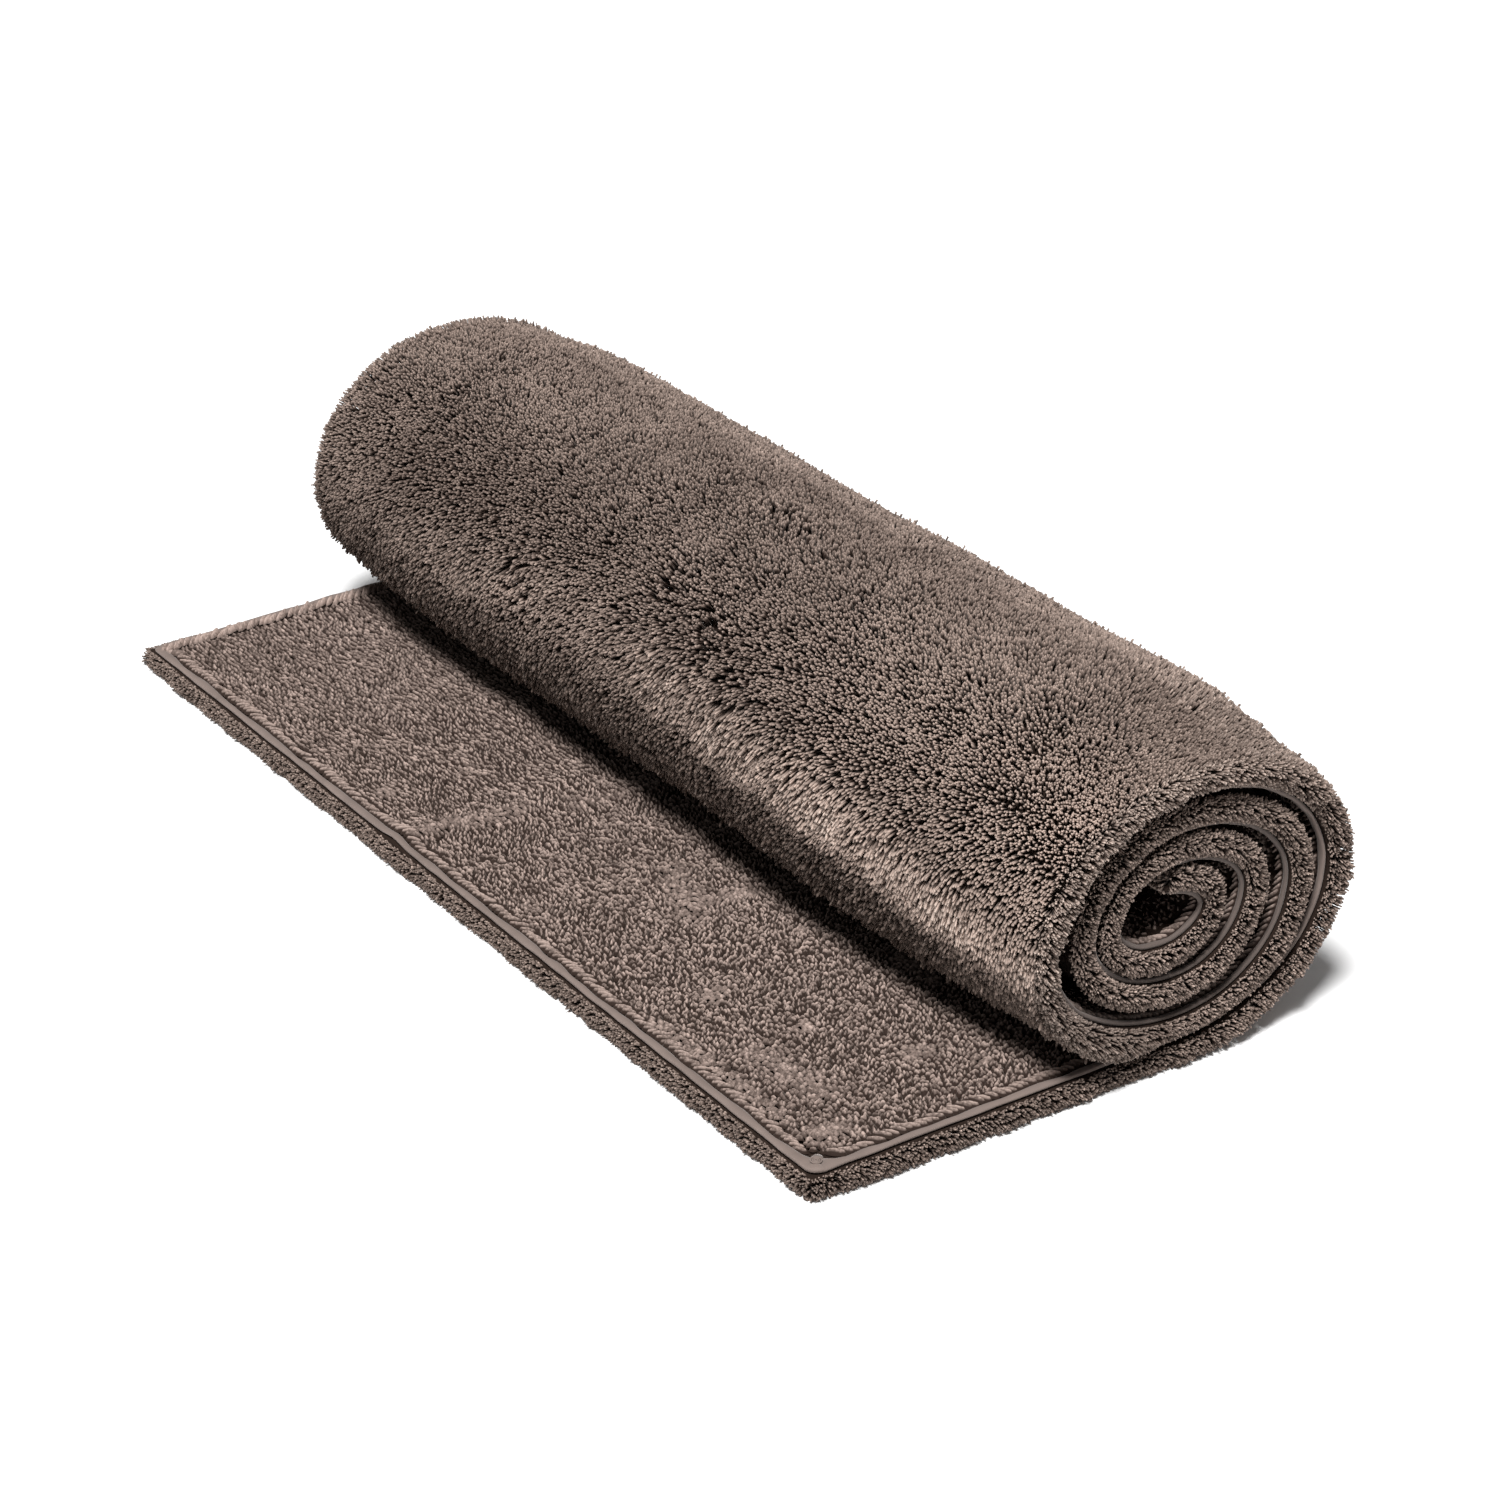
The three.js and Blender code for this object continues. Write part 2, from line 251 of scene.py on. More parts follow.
# A mesh from arrays of corners and triangles, smooth, with a number at each corner for every name given and
# a map in which each group of triangles has a square of its own.
def meshPiece(name, points, triangles, numbers, groupSize):
    mesh = bpy.data.meshes.new(name)
    mesh.vertices.add(len(points))
    mesh.vertices.foreach_set("co", np.asarray(points, np.float32).ravel())
    mesh.loops.add(triangles.size)
    mesh.loops.foreach_set("vertex_index", np.asarray(triangles, np.int32).ravel())
    mesh.polygons.add(len(triangles))
    mesh.polygons.foreach_set("loop_start", np.arange(len(triangles), dtype=np.int32) * 3)
    mesh.polygons.foreach_set("use_smooth", np.ones(len(triangles), bool))
    for key, values in numbers.items():
        layer = mesh.attributes.new(key, "FLOAT", "POINT")
        layer.data.foreach_set("value", np.asarray(values, np.float32).ravel())
    groups = math.ceil(len(triangles) / groupSize)
    side = math.ceil(math.sqrt(groups))
    group, slot = np.divmod(np.arange(len(triangles)), groupSize)
    columns = math.ceil(math.sqrt(groupSize / 2))
    pair, upper = np.divmod(slot, 2)
    square = np.stack([group % side, group // side], -1)
    corner = square + np.stack([pair % columns, pair // columns], -1) / columns
    low = np.array([[0.08, 0.06], [0.88, 0.06], [0.08, 0.86]])
    high = np.array([[0.92, 0.94], [0.12, 0.94], [0.92, 0.14]])
    inner = np.where(upper[:, None, None] == 1, high, low) / columns
    bake = mesh.uv_layers.new(name="OFBake")
    bake.uv.foreach_set("vector", ((corner[:, None] + inner) / side).astype(np.float32).ravel())
    mesh.update(calc_edges=True)
    mesh.validate()
    piece = bpy.data.objects.new(name, mesh)
    bpy.context.scene.collection.objects.link(piece)
    print(name, len(triangles), "triangles")
    return piece


# Gives a piece its material and its body.
def dress(piece, material):
    piece.data.materials.append(material)
    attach(piece, "root")
    return piece


# The triangles of a tube that closes on itself: a grid with a row of width points for each ring, whose last
# row joins its first one.
def tubeTriangles(rings, width):
    i, j = np.meshgrid(np.arange(rings), np.arange(width), indexing="ij")
    here, there = i * width, (i + 1) % rings * width
    k = (j + 1) % width
    quads = [[there + j, here + k, here + j], [there + j, there + k, here + k]]
    return np.concatenate([np.stack(corners, -1).reshape(-1, 3) for corners in quads])


# Many small half-round bodies of looped yarn on the cloth. Each is a chain of sections along a bent line,
# with a crown and a low point to either side of it, and comes down to a point at both ends. lengths,
# acrosses and crowns are bodies by stations, of which the first and last are the ends, and widths bodies by
# sections. reach has a number for each body's crown and one for its low points, and sets the painted shade
# down towards them; tone has one for all of it.
def yarnPiece(name, lengths, acrosses, crowns, widths, lows, way, reach, tone):
    count, sections = len(lengths), lengths.shape[1] - 2
    out = widths[..., None] * np.array([1, 0, -1])
    length = lengths[:, 1:-1, None] - np.sin(way)[:, None, None] * out
    across = acrosses[:, 1:-1, None] + np.cos(way)[:, None, None] * out
    low = np.repeat(lows[:, None], sections, axis=1)
    height = np.stack([low, crowns[:, 1:-1], low], -1)
    crown, foot = reach
    reached = np.stack([foot, crown, foot], -1)[:, None] * np.ones((1, sections, 1))

    def joined(inside, ends):
        return np.concatenate([inside.reshape(count, -1), ends[:, :1], ends[:, -1:]], 1)

    length, across, height = joined(length, lengths), joined(across, acrosses), joined(height, crowns)
    numbers = {"reach": joined(reached, foot[:, None]), "tone": np.repeat(tone, sections * 3 + 2)}
    waves = flapWaves(length, across) * (length < flapLength)
    i = np.arange(sections - 1)[:, None] * 3
    left = np.array([[1, 4, 3], [1, 3, 0]])
    right = np.array([[2, 5, 4], [2, 4, 1]])
    walls = (np.concatenate([left, right]).reshape(1, -1) + i).reshape(-1, 3)
    first, last, end = sections * 3, sections * 3 + 1, sections * 3 - 3
    caps = np.array([[first, 1, 0], [first, 2, 1], [last, end, end + 1], [last, end + 1, end + 2]])
    one = np.concatenate([walls, caps])
    triangles = (one[None] + np.arange(count)[:, None, None] * (sections * 3 + 2)).reshape(-1, 3)
    return meshPiece(name, place(length, across, height + waves).reshape(-1, 3), triangles, numbers, len(one))


# Places in rows across the cloth, each pushed about at random and every other row set over by half a step.
def rows(low, high, near, far, pitch, rng, jitter=0.75):
    down, over = max(1, round((high - low) / (pitch * 0.9))), max(1, round((far - near) / pitch))
    i, j = (index.ravel() for index in np.meshgrid(np.arange(down), np.arange(over), indexing="ij"))
    push = rng.uniform(-0.5, 0.5, (2, len(i))) * jitter
    length = low + (i + 0.5 + push[0]) * (high - low) / down
    across = near + (j + 0.25 + 0.5 * (i % 2) + push[1]) * (far - near) / over
    return length, across


class Socket:
    # A shader socket or a number that Python's operators work on, adding the Math nodes that they mean.
    def __init__(self, tree, link):
        self.tree, self.link = tree, link

    def maths(self, operation, *values, clamp=False):
        node = self.tree.nodes.new("ShaderNodeMath")
        node.operation, node.use_clamp = operation, clamp
        for socket, value in zip(node.inputs, values):
            plug(self.tree, socket, value)
        return Socket(self.tree, node.outputs[0])

    def __add__(self, other):
        return self.maths("ADD", self, other)

    def __sub__(self, other):
        return self.maths("SUBTRACT", self, other)

    def __rsub__(self, other):
        return self.maths("SUBTRACT", other, self)

    def __mul__(self, other):
        return self.maths("MULTIPLY", self, other)

    __radd__, __rmul__ = __add__, __mul__

    def clamped(self):
        return self.maths("ADD", self, 0.0, clamp=True)


# Puts a value, a colour or a link into a socket.
def plug(tree, socket, value):
    if isinstance(value, Socket):
        tree.links.new(value.link, socket)
    elif isinstance(value, (tuple, list)) and len(value) == 3 and socket.type == "RGBA":
        socket.default_value = (*value, 1)
    else:
        socket.default_value = value


class Finish:
    # A material being made: node adds any node, its settings set first, and gives back one output. The names
    # of its sockets have _ for a space.
    def __init__(self, name, **shader):
        self.material = bpy.data.materials.new(name)
        self.material.use_nodes = True
        self.tree = self.material.node_tree
        self.shader = self.tree.nodes["Principled BSDF"]
        for key, value in shader.items():
            self.put(key, value)

    def node(self, kind, settings=None, output=0, **sockets):
        made = self.tree.nodes.new(kind)
        for key, value in (settings or {}).items():
            setattr(made, key, value)
        for key, value in sockets.items():
            plug(self.tree, made.inputs[key.replace("_", " ")], value)
        return Socket(self.tree, made.outputs[output])

    def number(self, name):
        return self.node("ShaderNodeAttribute", {"attribute_name": name}, output="Fac")

    def noise(self, scale, detail=2.0, roughness=0.5):
        where = self.node("ShaderNodeTexCoord", output="Object")
        return self.node("ShaderNodeTexNoise", Vector=where, Scale=scale, Detail=detail, Roughness=roughness)

    def blend(self, share, first, second):
        made = self.tree.nodes.new("ShaderNodeMix")
        made.data_type = "RGBA"
        for index, value in ((0, share), (6, first), (7, second)):
            plug(self.tree, made.inputs[index], value)
        return Socket(self.tree, made.outputs[2])

    def put(self, key, value):
        plug(self.tree, self.shader.inputs[key.replace("_", " ")], value)


yarn = {
    "shade": (0.021, 0.0105, 0.0066),   # deep between the strands
    "fibre": (0.490, 0.374, 0.316),     # of a strand's side
    # painted sheen: the colour of a brushed strand's tip, lighter than its own, as if it caught the light
    "brushedSheen": (0.735, 0.603, 0.521),   # of one that lies brushed, where it catches the light
    "loop": (0.450, 0.343, 0.297),
    "tape": (0.205, 0.158, 0.138),
    # painted shade: the base cloth's colour, nearly black, for the shade deep between the yarns
    "ground": (0.015, 0.009, 0.0065),
}


# Cut cotton yarn. Each strand is painted in shade where it is sunk among its neighbours, has its own colour
# towards the tip and painted sheen past that where it lies brushed, and is a little lighter or darker, partly
# at random and partly by painted light and shade.
def plushFinish():
    finish = Finish("plush_cotton", Roughness=0.80, Sheen_Weight=0.12, Sheen_Roughness=0.45,
                    Sheen_Tint=(0.80, 0.66, 0.58), Specular_IOR_Level=0.25)
    reach, tone = finish.number("reach"), finish.number("tone")
    side = finish.blend(reach.clamped(), yarn["shade"], yarn["fibre"])
    ended = finish.blend((reach * 1.6 - 1.5).clamped(), side, yarn["brushedSheen"])
    dark = finish.blend(0.75, ended, yarn["shade"])
    finish.put("Base_Color", finish.blend(tone.clamped(), dark, ended))
    return finish.material


# Looped cotton yarn, painted in shade down towards each loop's low points, with the fine twist of its
# threads as a mottled tone and as bump.
def loopFinish():
    finish = Finish("loop_cotton", Roughness=0.80, Sheen_Weight=0.12, Sheen_Roughness=0.5,
                    Sheen_Tint=(0.80, 0.66, 0.58), Specular_IOR_Level=0.25)
    reach, tone = finish.number("reach"), finish.number("tone")
    side = finish.blend((reach * 2.2 - 1.2).clamped(), yarn["shade"], yarn["loop"])
    dark = finish.blend(0.70, side, yarn["shade"])
    thread = (finish.noise(780.0, detail=1.0) - 0.5) * 2.6
    finish.put("Base_Color", finish.blend((tone + thread).clamped(), dark, side))
    bump = finish.node("ShaderNodeBump", Height=finish.noise(1700.0), Strength=0.5, Distance=0.0006)
    finish.put("Normal", bump)
    return finish.material


# Folded cotton tape, woven in a fine slant that follows it, a little uneven in tone, and painted in shade
# inside the roll.
def tapeFinish():
    finish = Finish("tape_cotton", Roughness=0.75, Sheen_Weight=0.3, Sheen_Roughness=0.4,
                    Sheen_Tint=(0.85, 0.78, 0.74), Specular_IOR_Level=0.3)
    tone = finish.noise(60.0, detail=4.0)
    light, dark, shaded = (tuple(share * part for part in yarn["tape"]) for share in (1.0, 0.72, 0.5))
    outer = finish.blend((tone * 1.6 - 0.3).clamped(), dark, light)
    # painted shade over the tape inside the roll
    finish.put("Base_Color", finish.blend(finish.number("wound"), outer, shaded))
    slant = finish.node("ShaderNodeCombineXYZ", X=finish.number("along"), Y=finish.number("round"), Z=0.0)
    weave = finish.node("ShaderNodeTexWave", {"wave_type": "BANDS", "bands_direction": "DIAGONAL"},
                        output="Fac", Vector=slant, Scale=700.0, Distortion=1.5, Detail=1.0)
    finish.put("Normal", finish.node("ShaderNodeBump", Height=weave, Strength=0.35, Distance=0.0003))
    return finish.material


# The base cloth and the imported feet of the pile: painted nearly black for the shade deep between the
# yarns, and grainy.
def groundShadeFinish():
    finish = Finish("ground_shade_cotton", Roughness=0.95, Specular_IOR_Level=0.15)
    light = tuple(1.8 * part for part in yarn["ground"])
    finish.put("Base_Color", finish.blend(finish.noise(900.0, detail=3.0), yarn["ground"], light))
    bump = finish.node("ShaderNodeBump", Height=finish.noise(1400.0), Strength=0.8, Distance=0.001)
    finish.put("Normal", bump)
    return finish.material


plushCotton, loopCotton = plushFinish(), loopFinish()
tapeCotton, groundShadeCotton = tapeFinish(), groundShadeFinish()

# The base cloth, a thin sheet on the cloth line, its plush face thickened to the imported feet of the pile.
ground = {
    "stepAlong": 0.011,     # of its grid
    "stepAcross": 0.020,
    "top": 0.0004,
    "under": -0.0024,       # of the plush face at the cut edges
    "packed": 0.40,         # share of the plush that is packed close, further in
    "packedRims": 0.68,     # the same at the rims of the roll's back, where light would come through
    "uneven": 0.2,          # how much that varies
    "rimRun": 0.004,        # distance from an edge over which it thickens
    "filled": (0.014, 0.034),   # distance from an edge over which it comes to fill the room inside the roll
}


# A closed sheet: its looped face and its plush face over the same grid, joined by a ring of quads along the
# cut edges. Inside the roll, away from its ends, the sheet fills the room that loops and plush would take.
def groundCloth():
    lengths = np.linspace(0, clothLength, round(clothLength / ground["stepAlong"]) + 1)
    acrosses = np.linspace(-halfWidth, halfWidth, round(cloth["width"] / ground["stepAcross"]) + 1)
    ease = np.array([ground["rimRun"] / 3, ground["rimRun"] * 0.8])
    lengths = np.sort(np.concatenate([lengths, ease, clothLength - ease]))
    acrosses = np.sort(np.concatenate([acrosses, halfWidth - ease, ease - halfWidth]))
    length, across = np.meshgrid(lengths, acrosses, indexing="ij")
    inset = np.minimum(np.minimum(length, clothLength - length), halfWidth - np.abs(across))
    at = lineAt(length)
    turns, waves = at["turns"], flapWaves(length, across)
    inside = rising(inset, *ground["filled"])
    downwards, upwards = inside * rising(turns, 0.95, 1.10), inside * rising(turns, 0.10, 0.30)
    rims = (1 - rising(inset, 0.010, 0.030)) * within(turns, 0.03, 0.08, 0.38, 0.48)
    packed = between(ground["packed"], ground["packedRims"], rims)
    packed = packed * (1 + ground["uneven"] * drift(length, across, 0.009, 11))
    depth = at["plush"] * between(packed, 1, downwards) + cloth["turnGap"] * downwards
    depth = between(-ground["under"], np.maximum(depth, -ground["under"]), rising(inset, 0, ground["rimRun"]))
    looped = place(length, across, between(ground["top"], at["loops"], upwards) + waves)
    plushed = place(length, across, -depth + waves * 0.5)
    down, over = length.shape
    i, j = np.meshgrid(np.arange(down - 1), np.arange(over - 1), indexing="ij")
    a, b, c, d = i * over + j, i * over + j + 1, (i + 1) * over + j + 1, (i + 1) * over + j
    sides = [np.stack(corners, -1).reshape(-1, 3) for corners in ((a, d, c), (a, c, b))]
    below = down * over
    faces = sides + [side[:, ::-1] + below for side in sides]
    ring = np.concatenate([
        np.arange(over),
        np.arange(1, down) * over + over - 1,
        (down - 1) * over + np.arange(over - 2, -1, -1),
        np.arange(down - 2, 0, -1) * over,
    ])
    after = np.roll(ring, -1)
    faces += [np.stack([ring, after, ring + below], -1), np.stack([after, after + below, ring + below], -1)]
    points = np.concatenate([looped.reshape(-1, 3), plushed.reshape(-1, 3)])
    return meshPiece("base_cloth", points, np.concatenate(faces), {}, 2)


baseCloth = dress(groundCloth(), groundShadeCotton)

# The binding tape, sewn on the looped side round all four edges.
tape = {
    "inset": tapeInset,     # of its middle line from the cut edge
    "halfWidth": 0.0024,
    "inner": 0.58,          # share of that which it has inside the roll
    "top": 0.0035,          # height of its crown
    "foot": 0.0009,
    "corner": 0.0050,       # radius of its middle line at the corners
    "step": 0.0048,         # between its sections
    "sides": 10,            # of a section
    "cornerSpread": 0.0008, # how much wider the folded tape is at a corner
    "uneven": 0.00060,      # how much its width and its crown waver
    "foldWidth": 0.0135,    # how much further in it reaches at the near corner, where its ends are folded
    "foldRun": 0.013,       # length over which it does
    "foldRise": 0.0006,
    "stitched": 0.0086,     # of the stitches' middle from both cut edges
    "stitchRings": (0.0027, 0.0017, 0.0008),    # radii of the rings of thread
    "thread": 0.00042,      # half its thickness
}


# The round of stitches that holds the tape's fold at the near corner: rings of thread one inside the other.
def stitches():
    rings, width, thread, middle = 24, 6, tape["thread"], tape["stitched"]
    lift, ripple, ripples = 0.0001, 0.00008, 9      # clear of the tape, and the thread's waves
    turn = (np.arange(rings) * 2 * math.pi / rings)[:, None]
    around = np.arange(width) * 2 * math.pi / width
    points, triangles = [], []
    for i, radius in enumerate(tape["stitchRings"]):
        off = radius + thread * np.cos(around) + ripple * np.sin(turn * ripples)
        rise = tape["top"] + tape["foldRise"] + lift + thread * np.sin(around) + 0 * turn
        length, across = middle + off * np.cos(turn), middle - halfWidth + off * np.sin(turn)
        points.append(place(length, across, rise).reshape(-1, 3))
        triangles.append(tubeTriangles(rings, width) + i * rings * width)
    return np.concatenate(points), np.concatenate(triangles)


# The tape's middle line goes round the mat as a rectangle with round corners: along a side, round a corner,
# across an end, round the next, and the same again. Its section is a flat superellipse, whose width and
# crown waver a little. At the near corner, where the tape's ends are folded under, it reaches further in.
def bindingTape():
    radius = tape["corner"]
    low, high = tape["inset"] + radius, clothLength - tape["inset"] - radius
    side = halfWidth - tape["inset"] - radius
    quarter = np.linspace(0, math.pi / 2, 7)[:-1]

    def steps(start, end):
        return np.linspace(start, end, max(2, round(abs(end - start) / tape["step"])), endpoint=False)

    def bend(length, across, quarters):
        angle = quarter + quarters * math.pi / 2
        out = np.cos(angle), np.sin(angle)
        return length + radius * out[0], across + radius * out[1], *out

    parts = []
    for start, end, across, outward in ((low, high, -side, -1), (high, low, side, 1)):
        along, cross = steps(start, end), steps(across, -across)
        parts += [
            (along, 0 * along + across + outward * radius, 0 * along, 0 * along + outward),
            bend(end, across, outward),
            (0 * cross + end - outward * radius, cross, 0 * cross - outward, 0 * cross),
            bend(end, -across, outward + 1),
        ]
    length, across, outLength, outAcross = (np.concatenate(column)[:, None] for column in zip(*parts))
    walked = np.concatenate([[0], np.cumsum(np.hypot(np.diff(length[:, 0]), np.diff(across[:, 0])))])[:, None]
    corner = np.abs(outLength * outAcross) * 2
    around = np.arange(tape["sides"]) * 2 * math.pi / tape["sides"] + math.pi / tape["sides"]
    # how far the tape is wound into the roll: it is narrower there, and its finish paints shade over it
    wound = rising(lineAt(length)["turns"], 0.3, 0.8)
    wide = tape["halfWidth"] + corner * tape["cornerSpread"]
    wide = wide + tape["uneven"] * drift(walked, 0 * walked, 0.013, 21)
    wide = wide * between(1, tape["inner"], wound)
    out = np.sign(np.cos(around)) * np.abs(np.cos(around)) ** 0.9 * wide
    rise = np.sign(np.sin(around)) * np.abs(np.sin(around)) ** 0.9
    crown = tape["top"] + tape["uneven"] * drift(walked, 0 * walked + 5, 0.009, 22)
    height = (crown + tape["foot"]) / 2 + rise * (crown - tape["foot"]) / 2
    waves = flapWaves(length, across) * (length < flapLength)
    fold = np.exp(-((np.hypot(length, across + halfWidth) / tape["foldRun"]) ** 2))
    aside = between(0.5, 1.0, wound) * (tapeHalfWidth - wide)
    out = out + np.minimum(0, out) / wide * fold * tape["foldWidth"]
    height = height + fold * tape["foldRise"] * (height > (crown + tape["foot"]) / 2)
    out = out + aside
    points = place(length + out * outLength, across + out * outAcross, height + waves).reshape(-1, 3)
    triangles = tubeTriangles(len(length), tape["sides"])
    numbers = {"along": walked, "round": around * tape["halfWidth"], "wound": wound}
    numbers = {key: (values + 0 * out).ravel() for key, values in numbers.items()}
    stitched = stitches()
    triangles = np.concatenate([triangles, stitched[1] + len(points)])
    numbers = {key: np.concatenate([values, np.zeros(len(stitched[0]))]) for key, values in numbers.items()}
    return meshPiece("binding_tape", np.concatenate([points, stitched[0]]), triangles, numbers, 2)


binding = dress(bindingTape(), tapeCotton)
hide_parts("binding")

# The short loops of the looped side: small bent bodies of yarn, close together.
loop = {
    "pitch": 0.0030,
    "rimPitch": 0.0033,     # the same inside the roll
    "clear": 0.0045,        # distance from the bare edge to the first of them
    "width": 0.00172,       # half a loop's width
    "reach": 0.0018,        # half the length that it covers
    "flapEnd": 0.184,       # length at which the roll hides them
    "rimBand": 0.026,       # width along the rims inside the roll that has them
    "rowPitch": 0.0039,     # of the longer loops beside the binding
    "rowLength": 0.0105,
    "rowWidth": 0.00165,
    "rowInset": 0.0022,     # how far into the bare edge they start
    "slant": 1.4,           # how far they run along the binding for each step away from it
    "rowCloser": 0.0028,    # how much closer to the cut edge the row lies inside the roll
    "foldClear": 0.0235,    # distance from the near corner where the binding's fold takes their place
    "farOver": 0.0032,      # how far they lie over the binding at the flap's far edge
    "parted": 0.06,         # place across where the flap's loops are parted into two pieces
}

# Where the loops lie brushed flat and smooth, a row for each.
smoothed = table(
    "length across toLength toAcross width",
    (0.043, -0.245, 0.046, -0.290, 0.016),
    (0.020, -0.322, 0.034, -0.322, 0.012),
    (0.018, -0.300, 0.016, -0.190, 0.006),
    (0.018, 0.050, 0.075, 0.040, 0.009),
    (0.075, 0.200, 0.040, 0.285, 0.020),
    (0.110, -0.060, 0.090, -0.110, 0.012),
)


# How far across the loops reach to either side, and how far in from the free end they start.
loopEdge, loopStart = halfWidth - cloth["bareEdge"] - loop["clear"], cloth["bareEdge"] + loop["clear"]


# Each loop lies at an angle that wanders over the cloth, and mostly across it towards the far rim.
def loopField(name, length, across, sections, seed):
    rng = np.random.default_rng(seed)
    count = len(length)
    at = lineAt(length)
    loose = between(0.30, 1.0, rising(-across, -0.12, 0.22))
    way = math.pi / 2 + loose * (1.8 * drift(length, across, 0.012, seed + 1) + rng.normal(0, 0.6, count))
    size = 1 + 0.16 * rng.uniform(-1, 1, count)
    flat = sum(nearness(length, across, row) for row in smoothed)
    flat = flat + rising(drift(length, across, 0.026, 35), 0.6, 0.9)
    flat = np.minimum(1, between(flat, 0.55, rising(across, 0.06, 0.24))) * 0.85
    high = at["loops"] * (1 + 0.13 * rng.normal(0, 1, count)) * (1 - 0.10 * flat)
    stretch = between(1.25, 1.0, loose)[:, None]
    shares = np.concatenate([[-1], np.linspace(-0.62, 0.62, sections), [1]])
    rise = np.concatenate([[0.20], 1 - 0.16 * np.linspace(-1, 1, sections) ** 2, [0.20]])
    along = shares * (loop["reach"] * size)[:, None] * stretch
    aside = 0.0005 * (1 - shares ** 2) * rng.choice([-1, 1], count)[:, None]
    lengths = length[:, None] + along * np.cos(way)[:, None] - aside * np.sin(way)[:, None]
    acrosses = across[:, None] + along * np.sin(way)[:, None] + aside * np.cos(way)[:, None]
    widths = np.repeat((loop["width"] * size)[:, None], sections, axis=1) / stretch ** 0.5
    lows = high * between(0.12, 0.78, flat)
    # Tone at random and by drifts, a little darker towards the far rim and lighter towards the roll; inside
    # the roll the loops are painted lighter, as painted light in the roll's shade.
    tone = 0.58 + 0.24 * rng.normal(0, 1, count) + 0.12 * drift(length, across, 0.05, 38)
    tone = tone - 0.06 * rising(across, 0.05, 0.25) + 0.12 * rising(length, 0.12, 0.18)
    tone = np.clip(tone + 0.3 * (at["turns"] > 0.9), 0, 1)
    # reach: painted shade down towards the low points of the loops, less where they lie flat
    reach = 1.0 + 0.1 * rng.normal(0, 1, count) - 0.14 * flat, between(-0.1, 0.84, flat)
    return yarnPiece(name, lengths, acrosses, rise * high[:, None], widths, lows, way, reach, tone)


# The loops of the flap between two places across.
def flapLoops(name, near, far, sections, seed):
    rng = np.random.default_rng(seed)
    length, across = rows(loopStart, loop["flapEnd"], near, far, loop["pitch"], rng, 0.55)
    clear = np.hypot(length, across + halfWidth) > loop["foldClear"]
    return loopField(name, length[clear], across[clear], sections, seed + 1)


# The loops inside the roll: a band along each rim.
def woundLoops():
    rng = np.random.default_rng(41)
    ends, pitch = (loop["flapEnd"], clothLength - 0.015), loop["rimPitch"]
    near = rows(*ends, -loopEdge, loop["rimBand"] - loopEdge, pitch, rng, 0.6)
    far = rows(*ends, loopEdge - loop["rimBand"], loopEdge, pitch, rng, 0.6)
    length, across = (np.concatenate(column) for column in zip(near, far))
    return loopField("wound_loops", length, across, 2, 42)


# The longer loops pressed against the binding, aslant to it like a rope's strands: a row along each edge.
# inLength and inAcross point into the mat from there.
def loopRow():
    rng = np.random.default_rng(51)
    inset, gap = cloth["bareEdge"] - loop["rowInset"], loop["rowPitch"]
    alongs = np.arange(inset + gap, clothLength - inset - gap, gap)
    crosses = np.arange(-halfWidth + inset + gap, halfWidth - inset - gap, gap)
    parts = [(alongs, side * (halfWidth - inset), 0, -side) for side in (-1, 1)]
    parts += [(end, crosses, way, 0) for end, way in ((inset, 1), (clothLength - inset, -1))]
    parts = [np.broadcast_arrays(*part) for part in parts]
    length, across, inLength, inAcross = (np.concatenate(column) for column in zip(*parts))
    clear = np.hypot(length, across + halfWidth) > loop["foldClear"]
    length, across, inLength, inAcross = (column[clear] for column in (length, across, inLength, inAcross))
    farEdge = (across > halfWidth - 0.02) & (length < flapLength)
    across = across + loop["farOver"] * farEdge
    count = len(length)
    at = lineAt(length)
    closer = rising(at["turns"], 0.3, 0.8)
    across = across - inAcross * loop["rowCloser"] * closer
    size = 1 + 0.16 * rng.uniform(-1, 1, count)
    slant = loop["slant"] * (1 + 0.45 * drift(length, across, 0.020, 52)) + rng.normal(0, 0.14, count)
    way = np.arctan2(inAcross - slant * np.abs(inLength), inLength - slant * np.abs(inAcross))
    length, across = length + rng.normal(0, 0.0004, count), across + rng.normal(0, 0.0004, count)
    shares = np.array([0.0, 0.16, 0.50, 0.82, 1.0])
    rise = np.array([0.30, 0.86, 1.0, 0.86, 0.25])
    run = loop["rowLength"] * size[:, None] * shares
    lengths = length[:, None] + run * np.cos(way)[:, None]
    acrosses = across[:, None] + run * np.sin(way)[:, None]
    raised = 0.22 * farEdge
    high = at["loops"] * (1.05 + raised + 0.22 * closer + (0.08 + 0.3 * raised) * rng.normal(0, 1, count))
    widths = np.array([0.9, 1.05, 0.85]) * (loop["rowWidth"] * size)[:, None]
    # a little lighter at the flap's far edge, with painted shade towards the low points, less there
    tone = np.clip(0.62 + 0.2 * farEdge + 0.2 * rng.normal(0, 1, count), 0, 1)
    crowns, reach = rise * high[:, None], (np.ones(count), 0.10 + 0.6 * farEdge)
    return yarnPiece("edge_loops", lengths, acrosses, crowns, widths, high * 0.25, way, reach, tone)


made = [
    flapLoops("flap_loops_near", -loopEdge, loop["parted"], 3, 31),
    flapLoops("flap_loops_far", loop["parted"], loopEdge, 2, 36),
    woundLoops(),
    loopRow(),
]
loopPieces = [dress(piece, loopCotton) for piece in made]
print("loops made")

